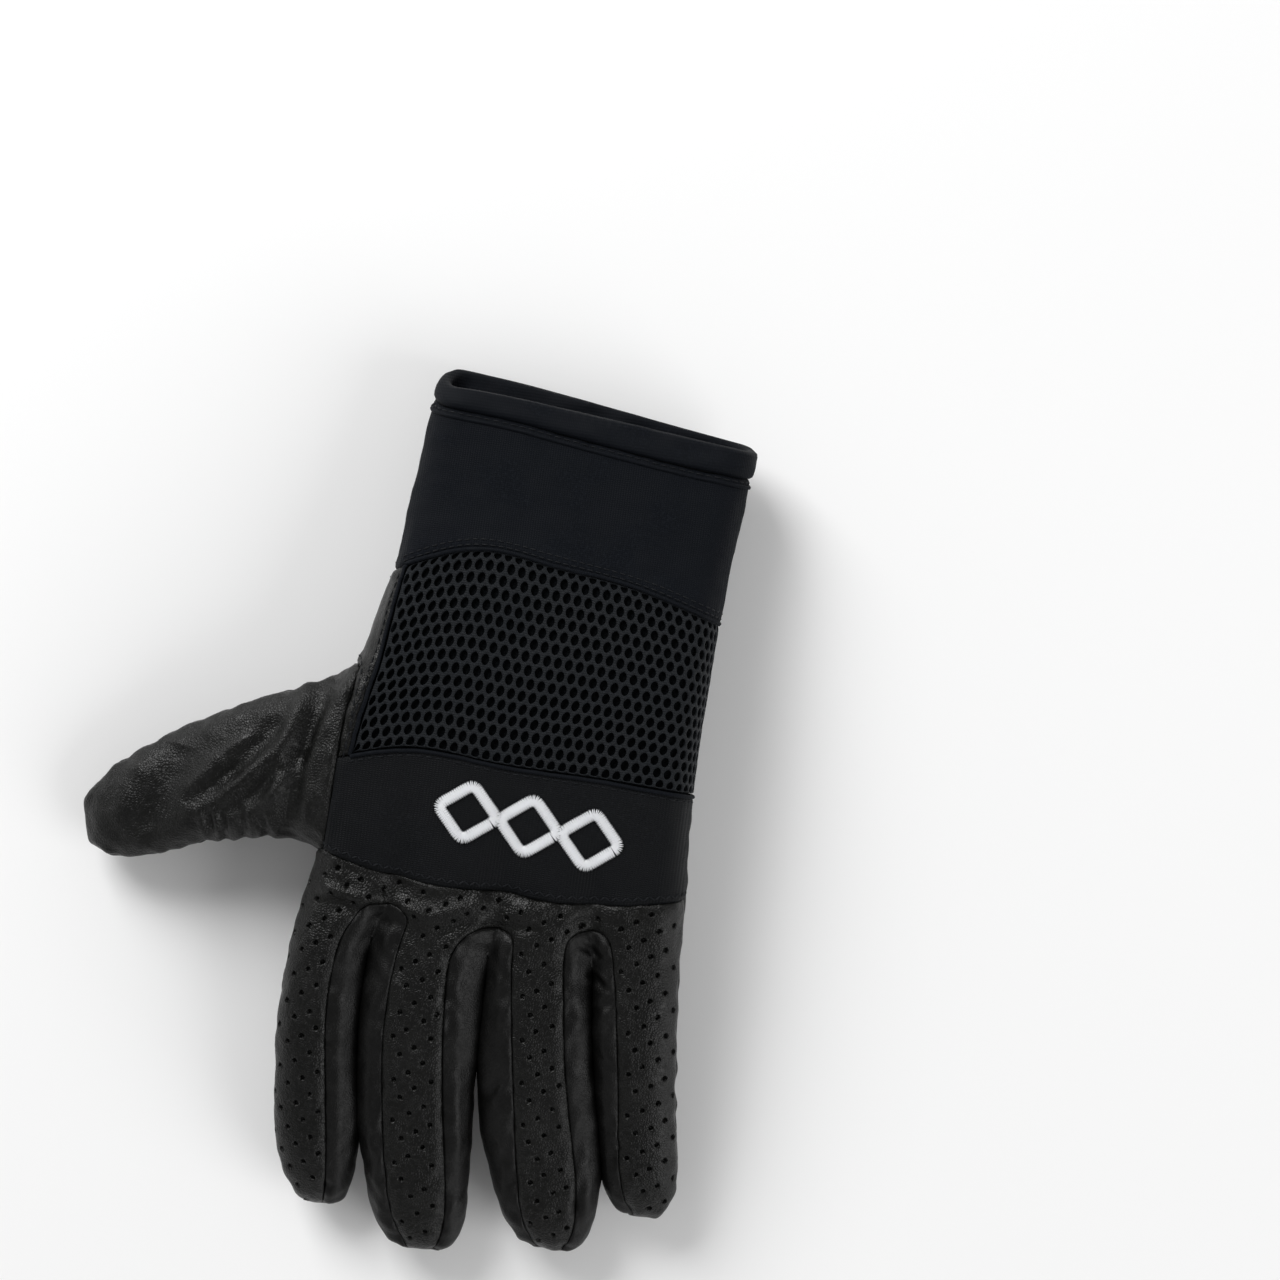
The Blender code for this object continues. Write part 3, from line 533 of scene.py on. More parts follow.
def loft(skin, near, far, panel_of, skipped=()):
    """Faces between two lines of points. They turn outwards where near comes before far on the back."""
    for k in range(len(near) - 1):
        if k not in skipped:
            skin.face(panel_of(k), near[k], near[k + 1], far[k + 1], far[k])


def close_tip(skin, back, palm, panel):
    """Closes the end of a finger or thumb across its last ring."""
    last = len(back) - 2
    skin.face(panel, palm[0], palm[1], back[1])
    for k in range(1, last):
        skin.face(panel, palm[k], palm[k + 1], back[k + 1], back[k])
    skin.face(panel, palm[last], palm[last + 1], back[last])


def back_panel(row, span):
    """The panel of a face on the back. Span 0 is the thumb side's edge, and column c ends span c."""
    column = span - 1
    if row == 0 and any(valley - 2 <= column <= valley + 1 for valley in VALLEYS):
        return f"fourchette_{1 + min(range(3), key=lambda k: abs(column - VALLEYS[k]))}"
    if row < BAND_ROW:
        return "finger_backs"
    if row < MESH_ROW:
        return "knuckle_band"
    if row < CUFF_ROW:
        return "palm" if column < 1 else "mesh"
    return "cuff_back" if row < BINDING_ROW else "cuff_binding"


def palm_panel(row, span):
    """The panel that a face on the palm side belongs to."""
    column = span - 1
    if row == 0:
        panel = back_panel(row, span)
        return panel if panel.startswith("fourchette") else "palm"
    if MESH_ROW <= row < CUFF_ROW:
        return "mesh" if column >= LAST_COLUMN - 1 else "palm"
    if row < CUFF_ROW:
        return "palm"
    return "cuff_palm" if row < BINDING_ROW else "cuff_binding"


def add_hand(skin):
    """The rows of the hand, from the fingers' roots to the cuff's rim."""
    crotch = crotch_columns()
    first, webs = crotch_row(skin, crotch)
    rows = [first, *(hand_row(skin, row, crotch) for row in range(1, RIM_ROW + 1))]
    for row, (near, far) in enumerate(zip(rows, rows[1:])):
        skipped = (0,) if THUMB_ROWS[0] <= row < THUMB_ROWS[1] else ()
        loft(skin, near[0], far[0], lambda span, row=row: back_panel(row, span), skipped)
        loft(skin, far[1], near[1], lambda span, row=row: palm_panel(row, span), skipped)
    return rows, webs


def finger_panel(finger, span, on_back):
    """The panel of a face on a finger. Spans 0 to 2 lie left of its back panel and 6 to 8 right of it."""
    if span <= 2 and finger > 0:
        return f"fourchette_{finger}"
    if span >= 6 and finger < 3:
        return f"fourchette_{finger + 1}"
    return "finger_backs" if on_back else "palm"


def add_fingers(skin, rows, webs):
    """The four fingers, each a row of rings from the crotch to its closed tip."""
    stations = [(along, 1.0) for along in FINGER_RINGS]
    for share in TIP_RINGS:
        closing = (1 - share**TIP_ROUNDNESS) ** (1 / TIP_ROUNDNESS)
        stations.append((blend(TIP_START, 1, share), closing))
    for finger, (length, outline) in enumerate(FINGERS.values()):
        first = 1 + finger * COLUMNS_PER_FINGER
        roots = [sheet[first : first + COLUMNS_PER_FINGER + 1] for sheet in rows[0]]
        sheets = [[webs[finger], *root, webs[finger + 1]] for root in roots]
        for along, closing in stations:
            ring = finger_ring(outline, length, along, closing)
            ends = [skin.add(ring[side], ring["y"], ring["z"]) for side in ("left", "right")]
            grown = []
            for side in (1, -1):
                points = [skin.add(x, ring["y"], ring["z"] + side * rise) for x, rise in ring["columns"]]
                grown.append([ends[0], *points, ends[1]])
            loft(skin, grown[0], sheets[0], lambda k, f=finger: finger_panel(f, k, True))
            loft(skin, sheets[1], grown[1], lambda k, f=finger: finger_panel(f, k, False))
            sheets = grown
        close_tip(skin, *sheets, "finger_backs")


def add_thumb(skin, rows):
    """The thumb: rings from the opening at the hand's side to its closed tip."""
    lowest, highest = THUMB_ROWS
    ends = rows[highest][0][0], rows[lowest][0][0]
    edge = range(highest, lowest - 1, -1)
    sheets = [[ends[0], *(rows[row][side][1] for row in edge), ends[1]] for side in (0, 1)]
    spans = len(edge) + 1
    root_x = -PALM_WIDTH / 2
    for upper_out, upper_across, lower_out, lower_across, underside, depth in THUMB_RINGS:
        upper = Vector((root_x - upper_out * THUMB_LENGTH, THUMB_ROOT_Y + upper_across * THUMB_WIDTH))
        lower = Vector((root_x - lower_out * THUMB_LENGTH, THUMB_ROOT_Y + lower_across * THUMB_WIDTH))
        half_depth = depth / 2 * FINGER_DEPTH
        middle = underside * STAND + half_depth
        ends = [skin.add(*place, middle) for place in (upper, lower)]
        grown = []
        for side in (1, -1):
            points = []
            for k in range(1, spans):
                c, s = superellipse(math.pi * k / spans, FINGER_FULLNESS)
                place = (upper + lower) / 2 + (upper - lower) / 2 * c
                points.append(skin.add(*place, middle + side * half_depth * s))
            grown.append([ends[0], *points, ends[1]])
        loft(skin, grown[0], sheets[0], lambda k: "thumb_back")
        loft(skin, sheets[1], grown[1], lambda k: "thumb_front")
        sheets = grown
    close_tip(skin, *sheets, "thumb_back")


def build_skin():
    skin = Skin()
    rows, webs = add_hand(skin)
    add_fingers(skin, rows, webs)
    add_thumb(skin, rows)
    return skin, rows


skin, rows = build_skin()
print("cage:", len(skin.points), "points,", len(skin.faces), "faces")

# %% [markdown]
# ## From a coarse cage to smooth cloth
# The cage has a few hundred faces. A Subdivision Surface modifier rounds it off, and the long faces are then
# cut once more, so that a crease a millimetre wide has points to bend. We keep the number of the sewn panel on
# each face as an attribute, which the modifier hands down to the small faces.

# %% Smooth the skin
SKIN_LEVELS = 3
LONGEST_EDGE = 1.1 * MM
SEAM_ROUNDING = 40
SEAM_SPREAD = 50
THUMB_TIP_START = -98 * MM
FINGER_TIP_START = -104 * MM
TIP_FADE = 8 * MM
TIP_ROUNDING = 50
PANELS = sorted({panel for panel, _ in skin.faces})


def evaluated_mesh(obj):
    """The mesh that an object's modifiers make, as a plain mesh. The object itself is removed."""
    bpy.context.view_layer.update()
    mesh = bpy.data.meshes.new_from_object(obj.evaluated_get(bpy.context.evaluated_depsgraph_get()))
    bpy.data.objects.remove(obj, do_unlink=True)
    return mesh


def smooth_skin():
    mesh = bpy.data.meshes.new("skin_cage")
    mesh.from_pydata([tuple(p) for p in skin.points], [], [corners for _, corners in skin.faces])
    marks = mesh.attributes.new("panel", "INT", "FACE")
    marks.data.foreach_set("value", [PANELS.index(panel) for panel, _ in skin.faces])
    cage = bpy.data.objects.new("skin_cage", mesh)
    bpy.context.scene.collection.objects.link(cage)
    smooth = cage.modifiers.new("Smooth", "SUBSURF")
    smooth.levels = smooth.render_levels = SKIN_LEVELS
    fine = evaluated_mesh(cage)
    bm = bmesh.new()
    bm.from_mesh(fine)
    long_edges = [edge for edge in bm.edges if edge.calc_length() > LONGEST_EDGE]
    bmesh.ops.subdivide_edges(bm, edges=long_edges, cuts=1)
    bm.to_mesh(fine)
    bm.free()
    return fine


def read(collection, name, width, kind=float):
    """One property of every item of a mesh collection, as a numpy array."""
    values = np.empty(len(collection) * width, kind)
    collection.foreach_get(name, values)
    return values.reshape(-1, width) if width > 1 else values


class SkinArrays:
    """The smooth skin as plain arrays: points, normals, face corners and the panel of each face."""

    def __init__(self, mesh):
        self.points = read(mesh.vertices, "co", 3)
        self.normals = read(mesh.vertex_normals, "vector", 3)
        self.corner_point = read(mesh.loops, "vertex_index", 1, np.int32)
        self.corner_edge = read(mesh.loops, "edge_index", 1, np.int32)
        self.face_start = read(mesh.polygons, "loop_start", 1, np.int32)
        self.face_size = read(mesh.polygons, "loop_total", 1, np.int32)
        self.face_panel = read(mesh.attributes["panel"].data, "value", 1, np.int32)
        self.edges = read(mesh.edges, "vertices", 2, np.int32)
        corner_panel = np.repeat(self.face_panel, self.face_size)
        self.edge_low = np.full(len(self.edges), len(PANELS))
        self.edge_high = np.full(len(self.edges), -1)
        np.minimum.at(self.edge_low, self.corner_edge, corner_panel)
        np.maximum.at(self.edge_high, self.corner_edge, corner_panel)
        self.edge_faces = np.bincount(self.corner_edge, minlength=len(self.edges))


def neighbour_sum(values, edges):
    """For each point, the sum of the values of the points that share one of these edges with it."""
    sums = np.zeros_like(values)
    for near, far in ((0, 1), (1, 0)):
        for axis in range(3):
            weights = values[edges[:, far], axis]
            sums[:, axis] += np.bincount(edges[:, near], weights, minlength=len(values))
    return sums


def seams_rounded(mesh):
    """Rounds the corners of the seams, and lets the cloth beside them follow along the surface."""
    raw = SkinArrays(mesh)
    count = len(raw.points)
    seam = raw.edges[(raw.edge_low != raw.edge_high) & (raw.edge_faces == 2)]
    ends = np.bincount(seam.ravel(), minlength=count)
    held = ends > 0
    held[raw.edges[raw.edge_faces == 1]] = True
    free = ends == 2
    free[raw.edges[raw.edge_faces == 1]] = False
    moved = raw.points.copy()
    for _ in range(SEAM_ROUNDING):
        moved[free] += (neighbour_sum(moved, seam)[free] / 2 - moved[free]) / 2
    shift = moved - raw.points
    shift -= raw.normals * (shift * raw.normals).sum(axis=1)[:, None]
    neighbours = np.bincount(raw.edges.ravel(), minlength=count)[:, None]
    for _ in range(SEAM_SPREAD):
        shift[~held] = (neighbour_sum(shift, raw.edges) / neighbours)[~held]
    surface = BVHTree.FromPolygons(raw.points.tolist(), [list(face.vertices) for face in mesh.polygons])
    for k in np.flatnonzero(np.linalg.norm(shift, axis=1) > 0.02 * MM):
        mesh.vertices[k].co = surface.find_nearest(Vector(raw.points[k] + shift[k]))[0]
    mesh.update()
    return mesh


def tips_rounded(mesh):
    """Smooths the last stretch of the thumb and the fingers, where the cage has few points."""
    raw = SkinArrays(mesh)
    beyond_thumb = (THUMB_TIP_START - raw.points[:, 0]) / TIP_FADE
    beyond_fingers = (FINGER_TIP_START - raw.points[:, 1]) / TIP_FADE
    share = np.clip(np.maximum(beyond_thumb, beyond_fingers), 0, 1)[:, None] / 2
    neighbours = np.bincount(raw.edges.ravel(), minlength=len(raw.points))[:, None]
    points = raw.points
    for _ in range(TIP_ROUNDING):
        points = points + (neighbour_sum(points, raw.edges) / neighbours - points) * share
    mesh.vertices.foreach_set("co", points.ravel())
    mesh.update()
    return mesh


cloth = SkinArrays(tips_rounded(seams_rounded(smooth_skin())))
print("smooth skin:", len(cloth.points), "points,", len(cloth.face_size), "faces,", len(PANELS), "panels")

# %% [markdown]
# ## Folds and creases
# Folds could come from a cloth simulation, but a lying glove was creased by the hand that wore it, and these
# creases are known from looking at it. So each is a short bowed line that presses a valley into the skin with a
# soft lip on each side. A negative depth makes a ridge. Sides are "back" or "palm".

# %% Creases
# All lengths are in millimetres in the glove's own frame.
CREASES = (
    # side, from_x, from_y, to_x, to_y, bow, width, depth
    ("back", -57.6, 30.0, -64.4, -19.0, -2.0, 2.8, 2.6),
    ("back", -52.0, 26.0, -58.6, -7.0, -1.0, 1.8, 1.0),
    ("back", -95.5, -13.5, -70.0, 15.5, -1.5, 2.2, 1.7),
    ("back", -82.5, -14.0, -63.5, 8.5, -1.0, 2.2, 1.7),
    ("back", -108.5, -26.0, -99.5, 4.0, -1.5, 5.0, 1.9),
    ("back", -89.0, -12.5, -86.5, -23.0, 0.4, 1.1, 0.9),
    ("back", -84.0, -12.5, -81.5, -22.0, -0.3, 1.0, 0.8),
    ("back", -79.2, -11.5, -76.4, -21.0, 0.4, 1.1, 0.9),
    ("back", -73.5, -12.5, -69.0, -21.0, 0.3, 1.1, 0.8),
    ("back", -92.0, 6.5, -70.5, 21.0, 1.5, 3.0, -0.8),
    ("back", -90.0, -3.0, -76.0, 8.0, 0.8, 1.2, 0.5),
    ("back", -54.0, -29.5, -20.0, -34.5, 0.6, 2.8, -1.5),
    ("back", -24.0, -36.5, 14.0, -30.0, 2.5, 2.6, -1.5),
    ("back", -52.5, -31.5, -38.0, -34.0, 0.8, 1.5, -0.55),
    ("back", -51.0, -28.6, -39.0, -30.8, 0.8, 1.3, 0.4),
    ("back", -28.5, -33.8, -17.0, -36.0, 0.8, 1.6, -0.5),
    ("back", -16.5, -46.5, 11.0, -31.0, 3.5, 1.7, -0.65),
    ("back", -13.0, -36.0, 6.0, -28.6, 1.5, 1.5, 0.4),
    ("back", 15.5, -36.0, 29.5, -26.0, 2.5, 1.6, -0.55),
    ("back", 23.0, -37.0, 32.0, -41.0, 0.6, 1.0, 0.6),
    ("back", 27.0, -45.0, 34.5, -49.6, 0.5, 1.0, 0.6),
    ("back", 31.0, -58.8, 36.6, -51.0, 0.4, 1.0, 0.5),
    ("back", 3.2, -87.5, 8.4, -77.0, 0.6, 1.3, 0.8),
    ("back", -31.0, 119.5, 26.0, 111.0, 1.0, 1.2, 0.35),
    ("palm", -52.0, -50.0, 48.0, -50.5, 2.0, 2.6, 1.2),
    ("palm", -52.0, -71.0, -39.0, -72.5, 1.0, 1.6, 0.7),
    ("palm", -28.0, -75.0, -10.0, -76.0, 1.0, 1.6, 0.8),
    ("palm", 8.0, -74.5, 24.0, -75.5, 1.0, 1.6, 0.8),
    ("palm", 39.0, -68.5, 52.0, -69.5, 1.0, 1.6, 0.7),
    ("palm", -52.0, -92.0, -38.0, -93.5, 0.8, 1.4, 0.55),
    ("palm", -26.0, -99.0, -9.0, -100.0, 0.8, 1.4, 0.6),
    ("palm", 11.0, -96.5, 28.0, -97.5, 0.8, 1.4, 0.6),
    ("palm", 43.0, -86.0, 56.0, -87.0, 0.8, 1.4, 0.5),
    ("palm", -57.0, 40.0, -38.0, -36.0, 10.0, 2.6, 1.0),
    ("palm", -88.0, 8.0, -70.0, -18.0, 3.0, 2.2, 0.9),
    ("palm", -104.0, 2.0, -94.0, -22.0, 2.0, 1.8, 0.6),
    ("palm", -46.0, 54.0, -30.0, 72.0, 2.0, 2.0, 0.6),
    ("palm", 40.0, 62.0, 50.0, 44.0, 2.0, 2.0, 0.6),
)
CREASE_POINTS = 24
LIP_SHARE = 0.5
LIP_PLACE = 1.9


def bowed_line(from_x, from_y, to_x, to_y, bow):
    """Points along a line whose middle stands off sideways by the bow."""
    t = np.linspace(0, 1, CREASE_POINTS)[:, None]
    first, last = np.array([from_x, from_y]), np.array([to_x, to_y])
    along = last - first
    sideways = np.array([-along[1], along[0]]) / np.linalg.norm(along)
    return first + along * t + sideways * bow * 4 * t * (1 - t)


def crease_depth(places, line, width, depth):
    """How far one crease presses each place in, in millimetres."""
    away = np.linalg.norm(places[:, None, :] - line[None, :, :], axis=2)
    nearest = away.argmin(axis=1)
    distance = away[np.arange(len(places)), nearest]
    t = nearest / (len(line) - 1)
    fade = np.clip(4 * t * (1 - t), 0, 1) ** 0.6
    valley = np.exp(-((distance / width) ** 2))
    lip = np.exp(-(((distance - LIP_PLACE * width) / (0.8 * width)) ** 2))
    return depth * fade * (valley - LIP_SHARE * lip)


def pressed_by_creases(points, normals):
    """How far all the creases press each point in, in metres."""
    flat = points[:, :2] / MM
    pressed = np.zeros(len(points))
    for side, from_x, from_y, to_x, to_y, bow, width, depth in CREASES:
        line = bowed_line(from_x, from_y, to_x, to_y, bow)
        low, high = line.min(axis=0) - 4 * width, line.max(axis=0) + 4 * width
        facing = normals[:, 2] > 0.05 if side == "back" else normals[:, 2] < -0.05
        near = facing & (flat > low).all(axis=1) & (flat < high).all(axis=1)
        lean = np.clip(np.abs(normals[near, 2]) * 2.5, 0, 1)
        pressed[near] += crease_depth(flat[near], line, width, depth) * lean
    return pressed * MM


print(len(CREASES), "creases")

# %% [markdown]
# Between the big folds, soft leather is never quite flat. A sum of plane waves in random directions gives a
# smooth, cheap unevenness. The seed is fixed, so the glove comes out the same each time.

# %% Unevenness
def ripple(points, wavelength, seed, waves=14):
    """Smooth noise from about -1 to 1, with bumps about one wavelength apart."""
    rng = np.random.default_rng(seed)
    directions = rng.normal(size=(waves, 3))
    directions /= np.linalg.norm(directions, axis=1)[:, None]
    lengths = wavelength * rng.uniform(0.7, 1.5, waves)
    phases = rng.uniform(0, 2 * math.pi, waves)
    return np.sin(points @ (directions / lengths[:, None] * 2 * math.pi).T + phases).sum(axis=1) / math.sqrt(waves)


# %% [markdown]
# ## Panels with turned edges
# Where two panels are sewn together, the edge of each is rolled under. So the surface dips near every seam, like
# a quarter of an ellipse, and the stitches pull small puckers into it. The table says how each kind of panel
# does this. Points are drawn back a little from the seam, and the wall is closed with an inner surface.

# %% Panel tables
# Walls are the same as those of the solids. Other lengths are in millimetres.
EDGE_DRAW = 0.05 * MM
INNER_SHARE = 0.12
PANEL_LOOKS = {
    # panel: wall, lift, roll_width, roll_depth, welt_height, pucker, softness
    "palm": (LEATHER_WALL, 0.0, 1.5, 0.75, 0.30, 0.34, 0.24),
    "finger_backs": (LEATHER_WALL, 0.0, 2.0, 0.42, 0.24, 0.30, 0.20),
    "fourchette_1": (FOURCHETTE_WALL, 0.0, 2.2, 0.42, 0.42, 0.50, 0.30),
    "fourchette_2": (FOURCHETTE_WALL, 0.0, 2.2, 0.42, 0.42, 0.50, 0.30),
    "fourchette_3": (FOURCHETTE_WALL, 0.0, 2.2, 0.42, 0.42, 0.50, 0.30),
    "thumb_back": (LEATHER_WALL, 0.0, 1.6, 0.75, 0.35, 0.40, 0.34),
    "thumb_front": (LEATHER_WALL, 0.0, 1.6, 0.75, 0.35, 0.40, 0.30),
    "knuckle_band": (BAND_WALL, 0.0, 1.3, 0.50, 0.10, 0.12, 0.14),
    "cuff_back": (NEOPRENE_WALL, 0.0, 2.0, 0.85, 0.15, 0.10, 0.22),
    "cuff_palm": (NEOPRENE_WALL, 0.0, 2.0, 0.85, 0.15, 0.10, 0.22),
    "mesh": (BACKING_WALL, -1.3, 1.0, 0.10, 0.00, 0.05, 0.08),
}


SWELL_PLACES = (-50, -60, -75, -98, -115)
SIDE_SWELLS = {
    # panel: how far its sides swell towards the next finger at each place along the fingers
    "fourchette_1": (0.9, 1.3, 1.3, 1.8, 0.6),
    "fourchette_2": (1.0, 1.8, 2.4, 1.9, 0.4),
    "fourchette_3": (0.9, 1.6, 1.6, 1.7, 0.5),
}


def panel_border(panel):
    """The edges of the skin that border one panel."""
    inside = (cloth.edge_low == panel) | (cloth.edge_high == panel)
    return inside & ((cloth.edge_low != cloth.edge_high) | (cloth.edge_faces == 1))


class Patch:
    """One panel's own copy of its stretch of the skin."""

    def __init__(self, name):
        panel = PANELS.index(name)
        chosen = np.flatnonzero(cloth.face_panel == panel)
        self.sizes = cloth.face_size[chosen]
        corners = [cloth.corner_point[s : s + n] for s, n in zip(cloth.face_start[chosen], self.sizes)]
        corners = np.concatenate(corners)
        self.kept, self.corners = np.unique(corners, return_inverse=True)
        self.points = cloth.points[self.kept]
        self.normals = cloth.normals[self.kept]
        border = np.flatnonzero(panel_border(panel))
        self.border_edges = np.searchsorted(self.kept, cloth.edges[border])
        self.distance = self.away_from(cloth.points[cloth.edges[border]])

    def away_from(self, edges):
        """Each point's distance from the nearest of these edges."""
        samples = np.concatenate([edges[:, 0], edges[:, 1], edges.mean(axis=1)])
        tree = KDTree(len(samples))
        for k, place in enumerate(samples):
            tree.insert(place, k)
        tree.balance()
        return np.array([tree.find(place)[2] for place in self.points])

    def faces(self):
        ends = np.cumsum(self.sizes)
        return [self.corners[end - size : end].tolist() for end, size in zip(ends, self.sizes)]

    def face_normals(self):
        """The direction of each face, from its first three corners' cross product."""
        starts = np.cumsum(self.sizes) - self.sizes
        a, b, c = (self.points[self.corners[starts + k]] for k in range(3))
        return np.cross(b - a, c - b)

    def draw_in(self, distance):
        """Draws the border points back from the seam, along the surface."""
        pull = np.zeros_like(self.points)
        starts = np.cumsum(self.sizes) - self.sizes
        sums = np.add.reduceat(self.points[self.corners], starts, axis=0)
        middles = np.repeat(sums / self.sizes[:, None], self.sizes, axis=0)
        np.add.at(pull, self.corners, middles - self.points[self.corners])
        pull -= self.normals * (pull * self.normals).sum(axis=1)[:, None]
        pull /= np.maximum(np.linalg.norm(pull, axis=1), 1e-9)[:, None]
        border = np.unique(self.border_edges)
        self.points[border] += pull[border] * distance


def shape_patch(patch, lift, roll_width, roll_depth, welt_height, pucker, softness):
    """Folds, puckers and rolls one panel's surface."""
    start, normals = patch.points.copy(), patch.normals
    d = patch.distance / MM
    roll = np.clip(1 - d / roll_width, 0, 1)
    sink = roll_depth * (1 - np.sqrt(1 - np.minimum(roll, 0.999) ** 2))
    rise = welt_height * np.exp(-(((d - 1.5 * roll_width) / roll_width) ** 2))
    rise += pucker * ripple(start, 5.0 * MM, 3) * np.exp(-d / 4)
    rise += softness * (ripple(start, 22 * MM, 5) + 0.35 * ripple(start, 7 * MM, 8))
    move = (lift + rise - sink) * MM - pressed_by_creases(start, normals)
    patch.points = start + normals * move[:, None]


def side_swell(patch, heights):
    """The leather between the fingers bulges, most where it faces sideways and away from its seams."""
    along = np.interp(-patch.points[:, 1] / MM, [-place for place in SWELL_PLACES], heights)
    sideways = 1 - np.clip(np.abs(patch.normals[:, 2]), 0, 1) ** 2
    free = np.clip(patch.distance / (3.5 * MM), 0, 1)
    patch.points += patch.normals * (along * sideways * free * MM)[:, None]


def closed_panel(name, patch, wall):
    """A mesh with the patch outside, a copy of it inside, and a rim between them."""
    count = len(patch.points)
    outer = patch.faces()
    inner = [[k + count for k in reversed(face)] for face in outer]
    rim = rim_faces(patch, count)
    inside = patch.points - patch.normals * wall
    mesh = bpy.data.meshes.new(name)
    mesh.from_pydata(np.concatenate([patch.points, inside]).tolist(), [], outer + inner + rim)
    return mesh


def rim_faces(patch, count):
    """Quads from each border edge down to its copy inside, turned outwards."""
    border = {tuple(sorted(edge)) for edge in patch.border_edges.tolist()}
    faces = []
    for face in patch.faces():
        for a, b in zip(face, face[1:] + face[:1]):
            if (min(a, b), max(a, b)) in border:
                faces.append([b, a, a + count, b + count])
    return faces


def inside_group(obj, count):
    """Marks the points past the given count, which no one sees."""
    group = obj.vertex_groups.new(name="inside")
    group.add(list(range(count, len(obj.data.vertices))), 1.0, "REPLACE")


def thin_inside(obj):
    """A copy of the object with its marked inside decimated and the rest left as it is."""
    thin = obj.modifiers.new("Thin", "DECIMATE")
    thin.ratio = 0.5 + INNER_SHARE / 2
    thin.vertex_group = "inside"
    thin.use_collapse_triangulate = False
    name = obj.name
    fine = evaluated_mesh(obj)
    fine.name = name
    return bpy.data.objects.new(name, fine)


def dressed(obj, material, node):
    """Finishes a piece: its material, the body it rides on and the solid that it stands for."""
    obj.data.materials.clear()
    obj.data.materials.append(material)
    obj.data.shade_smooth()
    if obj.name not in bpy.context.scene.collection.objects:
        bpy.context.scene.collection.objects.link(obj)
    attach(obj, "root")
    if node:
        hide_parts(node)
    obj.data.calc_loop_triangles()
    print(obj.name, len(obj.data.loop_triangles), "triangles")
    return obj

# %% [markdown]
# ## Finishes
# Most of the glove is black on black, so a finish is told by its grain and by how it shines, hardly by its
# colour. Three effects are used again and again, and each is a node group: the pebbles of leather, the rows of
# a knit, and patches of wear. They give out heights and masks alone. Each material keeps its own shader.

# %% Node helpers
def add_node(tree, kind, **settings):
    """A node with some of its settings and input values filled in."""
    node = tree.nodes.new(kind)
    for key, value in settings.items():
        if key in node.inputs:
            node.inputs[key].default_value = value
        else:
            setattr(node, key, value)
    return node


def shader_group(name, inputs, outputs):
    """An empty shader node group with named float or vector sockets."""
    tree = bpy.data.node_groups.new(name, "ShaderNodeTree")
    for label, kind, value in inputs:
        socket = tree.interface.new_socket(label, in_out="INPUT", socket_type=kind)
        if value is not None:
            socket.default_value = value
    for label in outputs:
        tree.interface.new_socket(label, in_out="OUTPUT", socket_type="NodeSocketFloat")
    return tree, tree.nodes.new("NodeGroupInput"), tree.nodes.new("NodeGroupOutput")


def math_node(tree, operation, first, second=None):
    """A Math node. Each input is a socket or a number."""
    node = tree.nodes.new("ShaderNodeMath")
    node.operation = operation
    for k, value in enumerate((first, second)):
        if isinstance(value, (int, float)):
            node.inputs[k].default_value = value
        elif value is not None:
            tree.links.new(value, node.inputs[k])
    return node.outputs[0]


# %% Leather pebbles
def pebble_group():
    """Rounded pebbles with fine valleys between them, as on the grain side of leather."""
    inputs = [("Vector", "NodeSocketVector", None), ("Scale", "NodeSocketFloat", 1200.0)]
    tree, given, made = shader_group("leather_pebbles", inputs, ["Height", "Valleys"])
    warp = add_node(tree, "ShaderNodeTexNoise", Scale=350.0, Detail=2.0)
    mix = add_node(tree, "ShaderNodeVectorMath", operation="MULTIPLY_ADD")
    mix.inputs[1].default_value = (0.0006, 0.0006, 0.0006)
    cells = add_node(tree, "ShaderNodeTexVoronoi", feature="F1", Randomness=0.9)
    edges = add_node(tree, "ShaderNodeTexVoronoi", feature="DISTANCE_TO_EDGE", Randomness=0.9)
    tree.links.new(given.outputs["Vector"], warp.inputs["Vector"])
    tree.links.new(warp.outputs["Color"], mix.inputs[0])
    tree.links.new(given.outputs["Vector"], mix.inputs[2])
    for texture in (cells, edges):
        tree.links.new(mix.outputs[0], texture.inputs["Vector"])
        tree.links.new(given.outputs["Scale"], texture.inputs["Scale"])
    dome = math_node(tree, "SUBTRACT", 1.0, cells.outputs["Distance"])
    valley = math_node(tree, "MINIMUM", math_node(tree, "MULTIPLY", edges.outputs["Distance"], 6.0), 1.0)
    tree.links.new(math_node(tree, "MULTIPLY", dome, valley), made.inputs["Height"])
    tree.links.new(math_node(tree, "SUBTRACT", 1.0, valley), made.inputs["Valleys"])
    return tree


# %% Knit rows
def knit_group():
    """Crossing ribs of a fine knit: rows along one direction, each row a chain of small humps."""
    inputs = [
        ("Vector", "NodeSocketVector", None),
        ("Row Pitch", "NodeSocketFloat", 0.0008),
        ("Loop Pitch", "NodeSocketFloat", 0.0006),
    ]
    tree, given, made = shader_group("knit_rows", inputs, ["Height"])
    parts = tree.nodes.new("ShaderNodeSeparateXYZ")
    tree.links.new(given.outputs["Vector"], parts.inputs[0])
    wobble = add_node(tree, "ShaderNodeTexNoise", Scale=240.0, Detail=1.0)
    tree.links.new(given.outputs["Vector"], wobble.inputs["Vector"])
    shift = math_node(tree, "MULTIPLY", wobble.outputs[0], 2.2)
    waves = []
    for axis, pitch in (("X", "Row Pitch"), ("Y", "Loop Pitch")):
        turns = math_node(tree, "DIVIDE", parts.outputs[axis], given.outputs[pitch])
        angle = math_node(tree, "ADD", math_node(tree, "MULTIPLY", turns, 2 * math.pi), shift)
        waves.append(math_node(tree, "ABSOLUTE", math_node(tree, "SINE", math_node(tree, "MULTIPLY", angle, 0.5))))
    tree.links.new(math_node(tree, "MULTIPLY", waves[0], waves[1]), made.inputs["Height"])
    return tree


